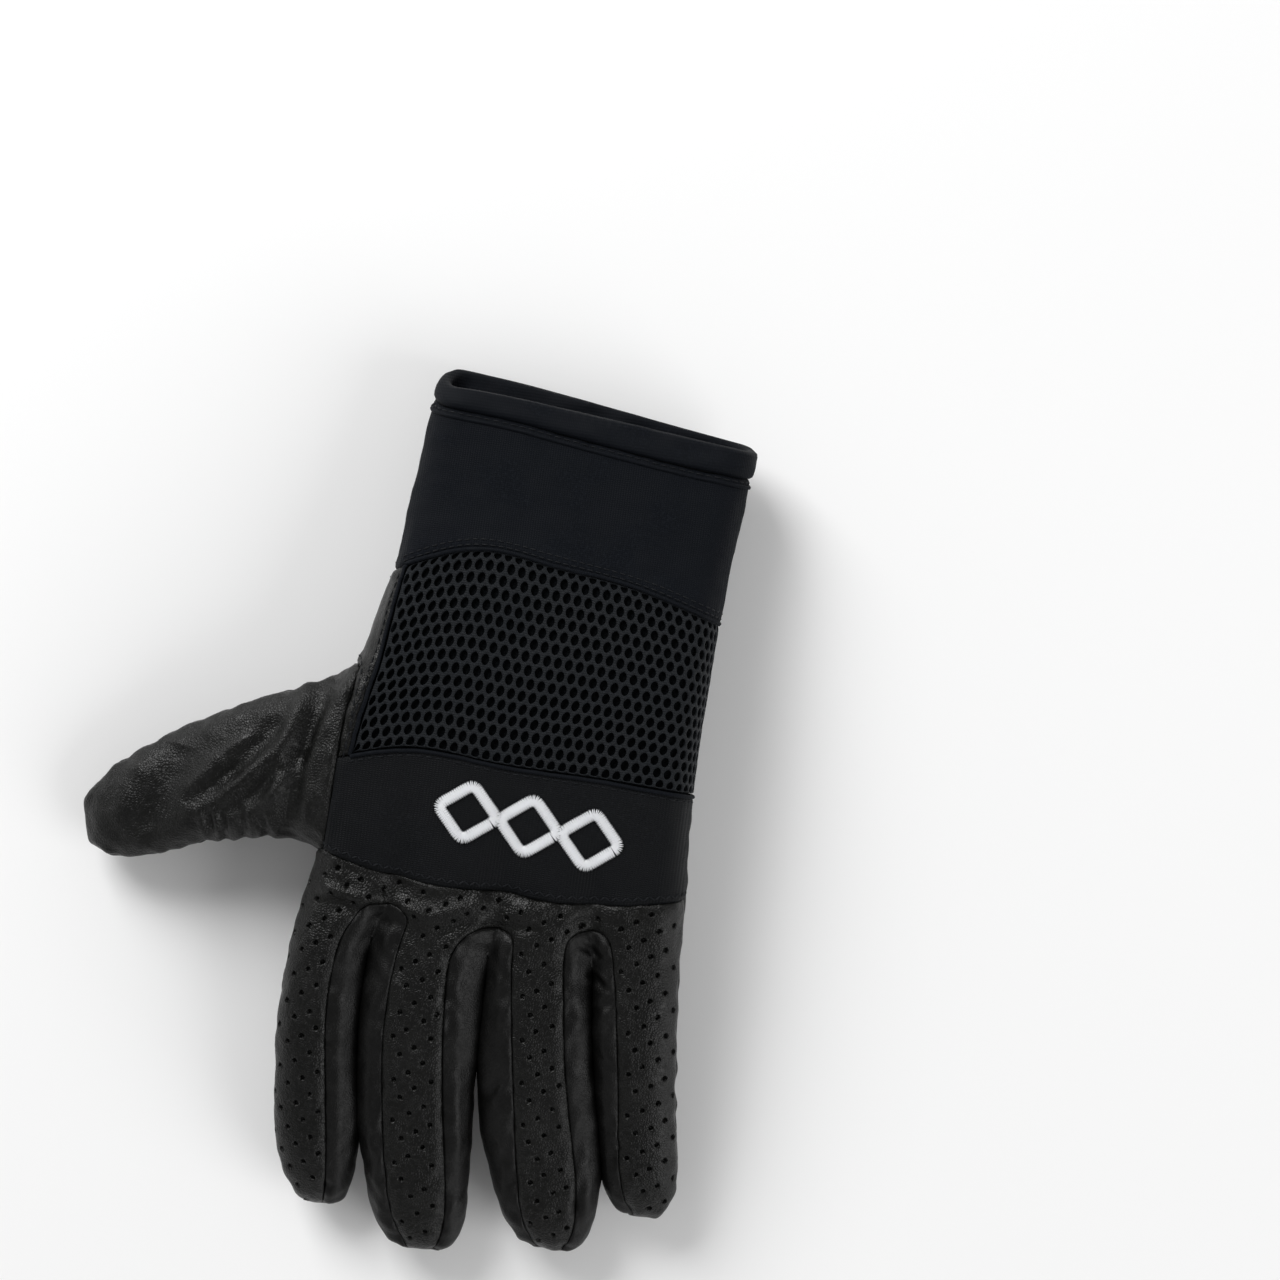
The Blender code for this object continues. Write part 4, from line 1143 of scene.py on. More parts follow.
# %% Patches of wear
def wear_group():
    """Soft uneven patches, broken up by fine specks: where a surface is rubbed, dusty or faded."""
    inputs = [("Vector", "NodeSocketVector", None), ("Scale", "NodeSocketFloat", 60.0)]
    tree, given, made = shader_group("worn_patches", inputs, ["Patches", "Specks"])
    patches = add_node(tree, "ShaderNodeTexNoise", Detail=4.0, Roughness=0.6)
    specks = add_node(tree, "ShaderNodeTexNoise", Scale=1500.0, Detail=2.0)
    tree.links.new(given.outputs["Vector"], patches.inputs["Vector"])
    tree.links.new(given.outputs["Scale"], patches.inputs["Scale"])
    tree.links.new(given.outputs["Vector"], specks.inputs["Vector"])
    for texture, label, low, high in ((patches, "Patches", 0.42, 0.66), (specks, "Specks", 0.45, 0.7)):
        ramp = add_node(tree, "ShaderNodeMapRange", interpolation_type="SMOOTHSTEP")
        ramp.inputs["From Min"].default_value = low
        ramp.inputs["From Max"].default_value = high
        tree.links.new(texture.outputs[0], ramp.inputs["Value"])
        tree.links.new(ramp.outputs["Result"], made.inputs[label])
    return tree


PEBBLES, KNIT, WEAR = pebble_group(), knit_group(), wear_group()
print("effects:", PEBBLES.name, KNIT.name, WEAR.name)

# %% [markdown]
# A finish below is one base colour and one worn colour, mixed by the wear mask, a range of roughness that
# follows the same mask, and a bump of one of the two grains. Specular and sheen are plain numbers on the
# shader. Black cloth needs a low specular level, because a pale sky would turn it grey.

# %% Make a finish
def finish(name, colour, worn, roughness, grain, bump, sheen=0.0, specular=0.3, wear_scale=60.0):
    """A material. Grain is (group, its values), and bump is (strength, distance in metres)."""
    material = bpy.data.materials.new(name)
    material.use_nodes = True
    tree = material.node_tree
    shader = tree.nodes["Principled BSDF"]
    shader.inputs["Specular IOR Level"].default_value = specular
    shader.inputs["Sheen Weight"].default_value = sheen
    shader.inputs["Sheen Roughness"].default_value = 0.45
    place = tree.nodes.new("ShaderNodeTexCoord").outputs["Object"]

    wear = add_node(tree, "ShaderNodeGroup", node_tree=WEAR)
    wear.inputs["Scale"].default_value = wear_scale
    tree.links.new(place, wear.inputs["Vector"])
    mask = math_node(tree, "MULTIPLY", wear.outputs["Patches"], wear.outputs["Specks"])

    blend_colour = add_node(tree, "ShaderNodeMix", data_type="RGBA")
    blend_colour.inputs[6].default_value = (*colour, 1)
    blend_colour.inputs[7].default_value = (*worn, 1)
    tree.links.new(mask, blend_colour.inputs["Factor"])
    tree.links.new(blend_colour.outputs[2], shader.inputs["Base Color"])

    shine = add_node(tree, "ShaderNodeMapRange")
    shine.inputs["To Min"].default_value = roughness[0]
    shine.inputs["To Max"].default_value = roughness[1]
    tree.links.new(wear.outputs["Patches"], shine.inputs["Value"])
    tree.links.new(shine.outputs["Result"], shader.inputs["Roughness"])

    group, values = grain
    surface = add_node(tree, "ShaderNodeGroup", node_tree=group)
    for label, value in values.items():
        surface.inputs[label].default_value = value
    tree.links.new(place, surface.inputs["Vector"])
    relief = add_node(tree, "ShaderNodeBump", Strength=bump[0], Distance=bump[1])
    tree.links.new(surface.outputs["Height"], relief.inputs["Height"])
    tree.links.new(relief.outputs["Normal"], shader.inputs["Normal"])
    return material


# %% All the finishes
LEATHER = finish(
    "black_leather", (0.0024, 0.0025, 0.0022), (0.0044, 0.0046, 0.0041), (0.32, 0.43),
    (PEBBLES, {"Scale": 1300.0}), (0.50, 0.00025), specular=0.23,
)
THIN_LEATHER = finish(
    "thin_black_leather", (0.0022, 0.0022, 0.0021), (0.0056, 0.0056, 0.0054), (0.38, 0.52),
    (PEBBLES, {"Scale": 1700.0}), (0.35, 0.00020), specular=0.20,
)
NEOPRENE = finish(
    "neoprene_jersey", (0.0022, 0.0031, 0.0050), (0.0050, 0.0064, 0.0090), (0.66, 0.80),
    (KNIT, {"Row Pitch": 0.0007, "Loop Pitch": 0.0006}), (0.45, 0.00025), sheen=0.012, specular=0.08,
)
TAPE = finish(
    "binding_tape", (0.0024, 0.0033, 0.0052), (0.0050, 0.0064, 0.0090), (0.62, 0.76),
    (KNIT, {"Row Pitch": 0.0005, "Loop Pitch": 0.0009}), (0.40, 0.00020), sheen=0.012, specular=0.08,
)
YARN = finish(
    "mesh_yarn", (0.0058, 0.0072, 0.0092), (0.0110, 0.0132, 0.0162), (0.55, 0.72),
    (KNIT, {"Row Pitch": 0.0004, "Loop Pitch": 0.0007}), (0.60, 0.00025), sheen=0.03, specular=0.14,
)
SPACER = finish(
    "mesh_lining", (0.0026, 0.0032, 0.0040), (0.0046, 0.0054, 0.0064), (0.85, 0.95),
    (KNIT, {"Row Pitch": 0.0009, "Loop Pitch": 0.0009}), (0.60, 0.00030), specular=0.05,
)
WEBBING = finish(
    "knuckle_webbing", (0.0024, 0.0029, 0.0037), (0.0052, 0.0059, 0.0070), (0.56, 0.70),
    (KNIT, {"Row Pitch": 0.0009, "Loop Pitch": 0.0006}), (0.50, 0.00025), sheen=0.015, specular=0.10,
)
BLACK_THREAD = finish(
    "black_thread", (0.0048, 0.0056, 0.0072), (0.0078, 0.0088, 0.0106), (0.50, 0.64),
    (KNIT, {"Row Pitch": 0.0003, "Loop Pitch": 0.0003}), (0.40, 0.00010), specular=0.14,
)
WHITE_THREAD = finish(
    "white_thread", (0.74, 0.75, 0.77), (0.62, 0.63, 0.66), (0.42, 0.55),
    (KNIT, {"Row Pitch": 0.0003, "Loop Pitch": 0.0004}), (0.30, 0.00010), sheen=0.10, specular=0.45,
)
PILE = finish(
    "loop_pile", (0.0044, 0.0050, 0.0047), (0.0100, 0.0112, 0.0106), (0.70, 0.85),
    (KNIT, {"Row Pitch": 0.0004, "Loop Pitch": 0.0004}), (0.40, 0.00015), sheen=0.04, specular=0.10,
)
HOOKS = finish(
    "hook_tape", (0.0050, 0.0050, 0.0050), (0.0090, 0.0090, 0.0090), (0.50, 0.65),
    (KNIT, {"Row Pitch": 0.0012, "Loop Pitch": 0.0012}), (0.70, 0.00040), specular=0.20,
)
PUCK_PLASTIC = finish(
    "puck_plastic", (0.0140, 0.0150, 0.0160), (0.046, 0.048, 0.049), (0.38, 0.62),
    (PEBBLES, {"Scale": 500.0}), (0.10, 0.00020), specular=0.35, wear_scale=35.0,
)
print(len(bpy.data.materials), "materials")

# %% [markdown]
# ## The sewn panels
# Each panel is cut out of the smooth skin, shaped, and closed with a wall. The back of the fingers comes later,
# because its leather is also punched.

# %% Cut and shape the plain panels
surfaces = {}


def shaped_patch(panel):
    """A panel's patch after folding, remembered for the stitches that will lie on it."""
    wall, *look = PANEL_LOOKS[panel]
    patch = Patch(panel)
    shape_patch(patch, *look)
    if panel in SIDE_SWELLS:
        side_swell(patch, SIDE_SWELLS[panel])
    patch.draw_in(EDGE_DRAW)
    surfaces[panel] = BVHTree.FromPolygons(patch.points.tolist(), patch.faces())
    return patch, wall


def sewn_piece(name, panel, material):
    patch, wall = shaped_patch(panel)
    obj = bpy.data.objects.new(name, closed_panel(name, patch, wall))
    bpy.context.scene.collection.objects.link(obj)
    inside_group(obj, len(patch.points))
    return dressed(thin_inside(obj), material, SOLID_OF.get(panel, panel))


SOLID_OF = {"mesh": "mesh_backing"}
sewn_piece("palm_leather", "palm", LEATHER)
sewn_piece("thumb_back_leather", "thumb_back", LEATHER)
sewn_piece("thumb_front_leather", "thumb_front", LEATHER)
for k in (1, 2, 3):
    sewn_piece(f"finger_side_leather_{k}", f"fourchette_{k}", THIN_LEATHER)
sewn_piece("knuckle_webbing", "knuckle_band", WEBBING)
sewn_piece("cuff_back_neoprene", "cuff_back", NEOPRENE)
sewn_piece("cuff_palm_neoprene", "cuff_palm", NEOPRENE)
sewn_piece("mesh_lining", "mesh", SPACER)

# %% [markdown]
# ## The cuff's binding
# The rim of the cuff is bound with a folded tape. It could be a swept profile, but a stretch of the same skin
# follows the rim exactly. We lift it a little, and thin it towards the rim on both sides until it closes round.

# %% Fold the binding over the rim
BINDING_WAVE = 0.16


def binding_piece():
    patch = Patch("cuff_binding")
    panel = PANELS.index("cuff_binding")
    rim = np.flatnonzero((cloth.edge_high == panel) & (cloth.edge_faces == 1))
    seam = np.flatnonzero(panel_border(panel) & (cloth.edge_faces == 2))
    from_rim = patch.away_from(cloth.points[cloth.edges[rim]])
    from_seam = patch.away_from(cloth.points[cloth.edges[seam]])
    half = BINDING_WALL / 2
    fold = np.clip(1 - from_rim / half, 0, 1)
    round_off = half * (1 - np.sqrt(1 - np.minimum(fold, 0.995) ** 2))
    turned = np.clip(1 - from_seam / (1.2 * MM), 0, 1)
    tucked = 0.7 * MM * (1 - np.sqrt(1 - np.minimum(turned, 0.999) ** 2))
    swell = 0.35 * MM * np.sin(np.clip(from_seam / (5 * MM), 0, 1) * math.pi)
    wave = BINDING_WAVE * MM * ripple(patch.points, 9 * MM, 21)
    move = BINDING_PROUD + swell + wave - tucked - round_off - pressed_by_creases(patch.points, patch.normals)
    patch.points = patch.points + patch.normals * move[:, None]
    patch.draw_in(EDGE_DRAW)
    surfaces["cuff_binding"] = BVHTree.FromPolygons(patch.points.tolist(), patch.faces())
    wall = BINDING_WALL + swell - 2 * round_off
    obj = bpy.data.objects.new("cuff_binding_tape", closed_panel("cuff_binding_tape", patch, wall[:, None]))
    dressed(obj, TAPE, "cuff_binding")


binding_piece()

# %% [markdown]
# ## Trees of Geometry Nodes
# Stitches, satin threads, punched holes, net cells and pile all repeat, so Geometry Nodes make them. Each tree is
# built here with named inputs. The helper below puts a tree on an object, fills in its inputs by the identifiers
# of their sockets, and turns the result into a plain mesh.

# %% Helpers for the trees
def geometry_tree(name, inputs):
    """An empty tree with a geometry in and out, and named inputs with their first values."""
    tree = bpy.data.node_groups.new(name, "GeometryNodeTree")
    tree.interface.new_socket("Geometry", in_out="INPUT", socket_type="NodeSocketGeometry")
    for label, kind, value in inputs:
        socket = tree.interface.new_socket(label, in_out="INPUT", socket_type=f"NodeSocket{kind}")
        if value is not None:
            socket.default_value = value
    tree.interface.new_socket("Geometry", in_out="OUTPUT", socket_type="NodeSocketGeometry")
    return tree, tree.nodes.new("NodeGroupInput"), tree.nodes.new("NodeGroupOutput")


def chain(tree, *nodes):
    """Links the first output of each node to the first input of the next."""
    for before, after in zip(nodes, nodes[1:]):
        tree.links.new(before.outputs[0], after.inputs[0])


def grow(name, mesh, tree, values):
    """The plain object that a tree makes from a mesh."""
    obj = bpy.data.objects.new(name, mesh)
    bpy.context.scene.collection.objects.link(obj)
    modifier = obj.modifiers.new(tree.name, "NODES")
    modifier.node_group = tree
    for item in tree.interface.items_tree:
        if item.in_out == "INPUT" and item.name in values:
            modifier[item.identifier] = values[item.name]
    made = evaluated_mesh(obj)
    made.name = name
    return bpy.data.objects.new(name, made)


# %% [markdown]
# ## Punched leather
# The leather on the back of the fingers has holes in slanting rows. A Boolean with hundreds of cutters would be
# slow, so we dissolve single points of the mesh instead. Each leaves one small face, which is made round, and
# the tree sinks it in two steps: a shallow funnel, as a punch leaves, and then the hole.

# %% The punching tree
def punch_tree():
    tree, given, made = geometry_tree("punch_holes", [
        ("Funnel Depth", "Float", 0.28 * MM),
        ("Hole Share", "Float", 0.7),
        ("Hole Depth", "Float", 1.0 * MM),
    ])
    holes = add_node(tree, "GeometryNodeInputNamedAttribute", data_type="BOOLEAN")
    holes.inputs["Name"].default_value = "hole"
    shape = given.outputs["Geometry"]
    chosen = holes.outputs["Attribute"]
    for sink, share in (("Funnel Depth", "Hole Share"), ("Hole Depth", None)):
        if sink == "Funnel Depth":
            press = add_node(tree, "GeometryNodeExtrudeMesh", mode="FACES")
            press.inputs["Offset Scale"].default_value = 0.0
            tree.links.new(shape, press.inputs["Mesh"])
            tree.links.new(chosen, press.inputs["Selection"])
            shape, chosen = press.outputs["Mesh"], press.outputs["Top"]
            narrow = add_node(tree, "GeometryNodeScaleElements", domain="FACE")
            tree.links.new(shape, narrow.inputs["Geometry"])
            tree.links.new(chosen, narrow.inputs["Selection"])
            tree.links.new(given.outputs[share], narrow.inputs["Scale"])
            shape = narrow.outputs["Geometry"]
            lower = tree.nodes.new("GeometryNodeSetPosition")
            normal = tree.nodes.new("GeometryNodeInputNormal")
            down = add_node(tree, "ShaderNodeVectorMath", operation="SCALE")
            tree.links.new(normal.outputs[0], down.inputs[0])
            tree.links.new(math_node(tree, "MULTIPLY", given.outputs[sink], -1.0), down.inputs["Scale"])
            tree.links.new(shape, lower.inputs["Geometry"])
            tree.links.new(chosen, lower.inputs["Selection"])
            tree.links.new(down.outputs[0], lower.inputs["Offset"])
            shape = lower.outputs["Geometry"]
        else:
            deep = add_node(tree, "GeometryNodeExtrudeMesh", mode="FACES")
            tree.links.new(shape, deep.inputs["Mesh"])
            tree.links.new(chosen, deep.inputs["Selection"])
            tree.links.new(math_node(tree, "MULTIPLY", given.outputs[sink], -1.0), deep.inputs["Offset Scale"])
            shape = deep.outputs["Mesh"]
    tree.links.new(shape, made.inputs[0])
    return tree


# %% Punch the backs of the fingers
HOLE_RADIUS = 1.05 * MM
HOLE_STEP_ACROSS = (-4.07, -2.68)
HOLE_STEP_ALONG = (2.88, -4.86)
HOLE_MARGIN = 2.1 * MM
HOLE_REACH = 40


def hole_places():
    """The slanting lattice of holes, in metres, over more than the whole glove."""
    across, along = np.array(HOLE_STEP_ACROSS) * MM, np.array(HOLE_STEP_ALONG) * MM
    steps = range(-HOLE_REACH, HOLE_REACH)
    return np.array([i * across + j * along for i in steps for j in steps])


def holed_points(patch):
    """The patch's points nearest to the lattice, well inside the panel's border and on its upper side."""
    usable = np.flatnonzero((patch.distance > HOLE_MARGIN) & (patch.normals[:, 2] > 0.3))
    tree = KDTree(len(usable))
    for k in usable:
        tree.insert((*patch.points[k][:2], 0), int(k))
    tree.balance()
    found = [tree.find((*place, 0)) for place in hole_places()]
    return sorted({index for _, index, away in found if away < 0.5 * MM})


def open_holes(bm, points):
    """Dissolves each point into one face, makes that face round and marks it."""
    bm.verts.ensure_lookup_table()
    centres = [bm.verts[k].co.copy() for k in points]
    bmesh.ops.dissolve_verts(bm, verts=[bm.verts[k] for k in points])
    mark = bm.faces.layers.bool.new("hole")
    tree = KDTree(len(centres))
    for k, centre in enumerate(centres):
        tree.insert(centre, k)
    tree.balance()
    opened = 0
    for face in bm.faces:
        if len(face.verts) < 6:
            continue
        middle = face.calc_center_median()
        if tree.find(middle)[2] > 0.5 * MM:
            continue
        face[mark] = True
        opened += 1
        for vert in face.verts:
            vert.co = middle + (vert.co - middle).normalized() * HOLE_RADIUS
    return opened


def punched_backs():
    patch, wall = shaped_patch("finger_backs")
    points = holed_points(patch)
    mesh = closed_panel("finger_back_leather", patch, wall)
    count = len(patch.points)
    obj = bpy.data.objects.new("finger_back_leather", mesh)
    inside_group(obj, count)
    bm = bmesh.new()
    bm.from_mesh(mesh)
    print(open_holes(bm, points), "holes punched")
    bm.to_mesh(mesh)
    bm.free()
    bpy.context.scene.collection.objects.link(obj)
    punch = obj.modifiers.new("Punch", "NODES")
    punch.node_group = punch_tree()
    return dressed(thin_inside(obj), LEATHER, "finger_backs")


punched_backs()

# %% [markdown]
# ## The mesh on the back of the hand
# The mesh is a spacer knit: a net of oval cells over a dark lining. The code lays out six-sided cells on the skin,
# with the corners between them swung up and down by turns. The tree pierces each one, gives the strands their
# thickness and rounds them off.

# %% The net tree
def net_tree():
    tree, given, made = geometry_tree("knit_net", [
        ("Opening", "Float", 0.56),
        ("Thickness", "Float", 0.9 * MM),
    ])
    cells = add_node(tree, "GeometryNodeInputNamedAttribute", data_type="BOOLEAN")
    cells.inputs["Name"].default_value = "cell"
    inset = add_node(tree, "GeometryNodeExtrudeMesh", mode="FACES")
    inset.inputs["Offset Scale"].default_value = 0.0
    tree.links.new(given.outputs["Geometry"], inset.inputs["Mesh"])
    tree.links.new(cells.outputs["Attribute"], inset.inputs["Selection"])
    narrow = add_node(tree, "GeometryNodeScaleElements", domain="FACE")
    tree.links.new(inset.outputs["Mesh"], narrow.inputs["Geometry"])
    tree.links.new(inset.outputs["Top"], narrow.inputs["Selection"])
    tree.links.new(given.outputs["Opening"], narrow.inputs["Scale"])
    pierce = add_node(tree, "GeometryNodeDeleteGeometry", domain="FACE")
    tree.links.new(narrow.outputs["Geometry"], pierce.inputs["Geometry"])
    tree.links.new(inset.outputs["Top"], pierce.inputs["Selection"])
    thick = add_node(tree, "GeometryNodeExtrudeMesh", mode="FACES")
    thick.inputs["Individual"].default_value = False
    tree.links.new(pierce.outputs["Geometry"], thick.inputs["Mesh"])
    tree.links.new(given.outputs["Thickness"], thick.inputs["Offset Scale"])
    under = tree.nodes.new("GeometryNodeFlipFaces")
    tree.links.new(pierce.outputs["Geometry"], under.inputs[0])
    both = tree.nodes.new("GeometryNodeJoinGeometry")
    tree.links.new(thick.outputs["Mesh"], both.inputs[0])
    tree.links.new(under.outputs[0], both.inputs[0])
    weld = tree.nodes.new("GeometryNodeMergeByDistance")
    weld.inputs["Distance"].default_value = 0.005 * MM
    soften = tree.nodes.new("GeometryNodeSubdivisionSurface")
    soften.inputs["Level"].default_value = 1
    chain(tree, both, weld, soften, made)
    return tree


# %% Lay out and knit the net
NET_PITCH_ACROSS = 3.17 * MM
NET_PITCH_ALONG = 3.75 * MM
FINE_SWING = 0.23
NET_DROP = 0.75 * MM
MIDDLE_MESH_ROW = 7


def net_layout(across, along):
    """Lines of points over the mesh panel, two steps to a cell, with every second one swung."""
    lines = []
    for back, palm in rows[MESH_ROW : CUFF_ROW + 1]:
        around = [*back[2:], palm[LAST_COLUMN + 1], palm[LAST_COLUMN]]
        lines.append(even_line([skin.points[k] for k in around], 2 * across + 1))
    columns = [even_line(column, along + 1) for column in zip(*lines)]
    for i, column in enumerate(columns):
        cell = [b - a for a, b in zip(column, column[1:])]
        for j in range(1, along):
            column[j] = column[j] + cell[j] * ((1 if (i + j) % 2 == 0 else -1) * FINE_SWING)
    return columns


def even_line(points, count):
    """The points of a line again, evenly spaced along it."""
    steps = [(b - a).length for a, b in zip(points, points[1:])]
    reached = np.concatenate([[0], np.cumsum(steps)])
    places = np.linspace(0, reached[-1], count)
    axes = [np.interp(places, reached, [p[axis] for p in points]) for axis in range(3)]
    return [Vector(place) for place in zip(*axes)]


def line_length(points):
    return sum((b - a).length for a, b in zip(points, points[1:]))


def net_surface():
    """The mesh panel's own smooth surface, at the height of the skin."""
    patch = Patch("mesh")
    _, _, _, *look = PANEL_LOOKS["mesh"]
    shape_patch(patch, 0.0, 1.4, 0.6, *look[1:])
    return BVHTree.FromPolygons(patch.points.tolist(), patch.faces())


def net_cells():
    """The mesh of six-sided cells, snapped to the surface, with the whole ones marked."""
    back, palm = rows[MIDDLE_MESH_ROW]
    width = line_length([skin.points[k] for k in [*back[2:], palm[LAST_COLUMN + 1], palm[LAST_COLUMN]]])
    across = round(width / NET_PITCH_ACROSS)
    along = round(line_length([skin.points[rows[r][0][15]] for r in range(MESH_ROW, CUFF_ROW + 1)]) / NET_PITCH_ALONG)
    columns = net_layout(across, along)
    surface = net_surface()
    bm = bmesh.new()
    verts = []
    for column in columns:
        found = [surface.find_nearest(point) for point in column]
        verts.append([bm.verts.new(place - normal * NET_DROP) for place, normal, _, _ in found])
    mark = bm.faces.layers.bool.new("cell")
    last = len(columns) - 1
    for j in range(along):
        for start in range(-1 if j % 2 else 0, last, 2):
            steps = [i for i in (start, start + 1, start + 2) if 0 <= i <= last]
            face = bm.faces.new([verts[i][j] for i in steps] + [verts[i][j + 1] for i in reversed(steps)])
            face[mark] = len(steps) == 3
    mesh = bpy.data.meshes.new("net_cells")
    bm.to_mesh(mesh)
    bm.free()
    print("net:", across, "by", along, "cells")
    return mesh


net = grow("mesh_knit_net", net_cells(), net_tree(), {"Opening": 0.74, "Thickness": 0.9 * MM})
dressed(net, YARN, "mesh_net")

# %% [markdown]
# ## Stitches
# A seam's stitches follow the seam, a little to one side. We walk along the edges where two panels meet, step
# sideways over the surface, and drop each point onto the finished panel. The tree then lays one thread at each
# step along that path. Turned across the path, the same threads make satin stitching.

# %% The stitching tree
def stitch_tree():
    tree, given, made = geometry_tree("lay_stitches", [
        ("Spacing", "Float", 3.0 * MM),
        ("Length", "Float", 2.2 * MM),
        ("Width", "Float", 0.5 * MM),
        ("Height", "Float", 0.4 * MM),
        ("Turn", "Float", 0.0),
        ("Zigzag", "Float", 0.0),
        ("Material", "Material", None),
    ])
    line = tree.nodes.new("GeometryNodeMeshToCurve")
    tree.links.new(given.outputs["Geometry"], line.inputs["Mesh"])
    even = add_node(tree, "GeometryNodeResampleCurve", mode="LENGTH")
    tree.links.new(line.outputs[0], even.inputs[0])
    tree.links.new(given.outputs["Spacing"], even.inputs["Length"])

    thread = add_node(tree, "GeometryNodeMeshUVSphere", Segments=8, Rings=6, Radius=0.5)
    size = tree.nodes.new("ShaderNodeCombineXYZ")
    for axis, label in (("X", "Length"), ("Y", "Width"), ("Z", "Height")):
        tree.links.new(given.outputs[label], size.inputs[axis])
    shaped = tree.nodes.new("GeometryNodeTransform")
    tree.links.new(thread.outputs["Mesh"], shaped.inputs["Geometry"])
    tree.links.new(size.outputs[0], shaped.inputs["Scale"])

    tangent = tree.nodes.new("GeometryNodeInputTangent")
    along = add_node(tree, "FunctionNodeAlignRotationToVector", axis="X")
    tree.links.new(tangent.outputs[0], along.inputs["Vector"])
    up = add_node(tree, "GeometryNodeInputNamedAttribute", data_type="FLOAT_VECTOR")
    up.inputs["Name"].default_value = "up"
    upright = add_node(tree, "FunctionNodeAlignRotationToVector", axis="Z", pivot_axis="X")
    tree.links.new(along.outputs[0], upright.inputs["Rotation"])
    tree.links.new(up.outputs["Attribute"], upright.inputs["Vector"])

    index = tree.nodes.new("GeometryNodeInputIndex")
    side = math_node(tree, "SUBTRACT", math_node(tree, "MULTIPLY", math_node(tree, "MODULO", index.outputs[0], 2.0), 2.0), 1.0)
    swing = math_node(tree, "MULTIPLY", side, given.outputs["Zigzag"])
    angle = math_node(tree, "ADD", swing, given.outputs["Turn"])
    euler = tree.nodes.new("ShaderNodeCombineXYZ")
    tree.links.new(angle, euler.inputs["Z"])
    turn = tree.nodes.new("FunctionNodeEulerToRotation")
    tree.links.new(euler.outputs[0], turn.inputs[0])
    turned = add_node(tree, "FunctionNodeRotateRotation", rotation_space="LOCAL")
    tree.links.new(upright.outputs[0], turned.inputs["Rotation"])
    tree.links.new(turn.outputs[0], turned.inputs["Rotate By"])

    lay = tree.nodes.new("GeometryNodeInstanceOnPoints")
    tree.links.new(even.outputs[0], lay.inputs["Points"])
    tree.links.new(shaped.outputs[0], lay.inputs["Instance"])
    tree.links.new(turned.outputs[0], lay.inputs["Rotation"])
    real = tree.nodes.new("GeometryNodeRealizeInstances")
    paint = tree.nodes.new("GeometryNodeSetMaterial")
    tree.links.new(given.outputs["Material"], paint.inputs["Material"])
    chain(tree, lay, real, paint, made)
    return tree


STITCHES = stitch_tree()


# %% Find seams and the paths beside them
def seam_lines(first, second):
    """The lines of points along the seams between two panels."""
    pair = sorted((PANELS.index(first), PANELS.index(second)))
    found = (cloth.edge_low == pair[0]) & (cloth.edge_high == pair[1])
    beside = {}
    for a, b in cloth.edges[found].tolist():
        beside.setdefault(a, []).append(b)
        beside.setdefault(b, []).append(a)
    lines, left = [], set(beside)
    while left:
        ends = [k for k in left if len(beside[k]) == 1] or list(left)
        line = [min(ends)]
        left.discard(line[0])
        while True:
            following = [k for k in beside[line[-1]] if k in left]
            if not following:
                break
            line.append(following[0])
            left.discard(following[0])
        if len(line) > 3:
            lines.append(line)
    return lines


def panel_centre_side(panel, points, sideways):
    """1 where the panel lies on the sideways side of each point, and -1 where it lies on the other."""
    surface = surfaces[panel]
    reach = 1.5 * MM
    ahead = [surface.find_nearest(Vector(p + s * reach))[3] for p, s in zip(points, sideways)]
    behind = [surface.find_nearest(Vector(p - s * reach))[3] for p, s in zip(points, sideways)]
    return 1 if np.median(np.array(ahead) - np.array(behind)) < 0 else -1


def beside_seam(line, panel, offset, lift, smooth=4):
    """A path on one panel beside a seam: its points and the surface's direction at each."""
    points = cloth.points[line]
    normals = cloth.normals[line]
    for _ in range(smooth):
        points[1:-1] = (points[:-2] + 2 * points[1:-1] + points[2:]) / 4
    tangents = np.gradient(points, axis=0)
    sideways = np.cross(normals, tangents)
    sideways /= np.linalg.norm(sideways, axis=1)[:, None]
    sideways *= panel_centre_side(panel, points, sideways)
    places = points + sideways * offset
    return on_surface(surfaces[panel], places, lift)


def on_surface(surface, places, lift):
    found = [surface.find_nearest(Vector(place)) for place in places]
    return [(spot + normal * lift, normal) for spot, normal, _, _ in found]


def path_mesh(name, paths):
    """A mesh of open lines, with the surface's direction kept at each point."""
    points, ups, edges = [], [], []
    for path in paths:
        edges += [(len(points) + k, len(points) + k + 1) for k in range(len(path) - 1)]
        points += [tuple(place) for place, _ in path]
        ups += [tuple(up) for _, up in path]
    mesh = bpy.data.meshes.new(name)
    mesh.from_pydata(points, edges, [])
    mark = mesh.attributes.new("up", "FLOAT_VECTOR", "POINT")
    mark.data.foreach_set("vector", np.array(ups).ravel())
    return mesh


# %% [markdown]
# The table lists the sewn rows that show: the panel they lie on, the panel they run beside, how far from the seam
# they run, and the look of one stitch. The other seams are sewn from inside and show no thread.

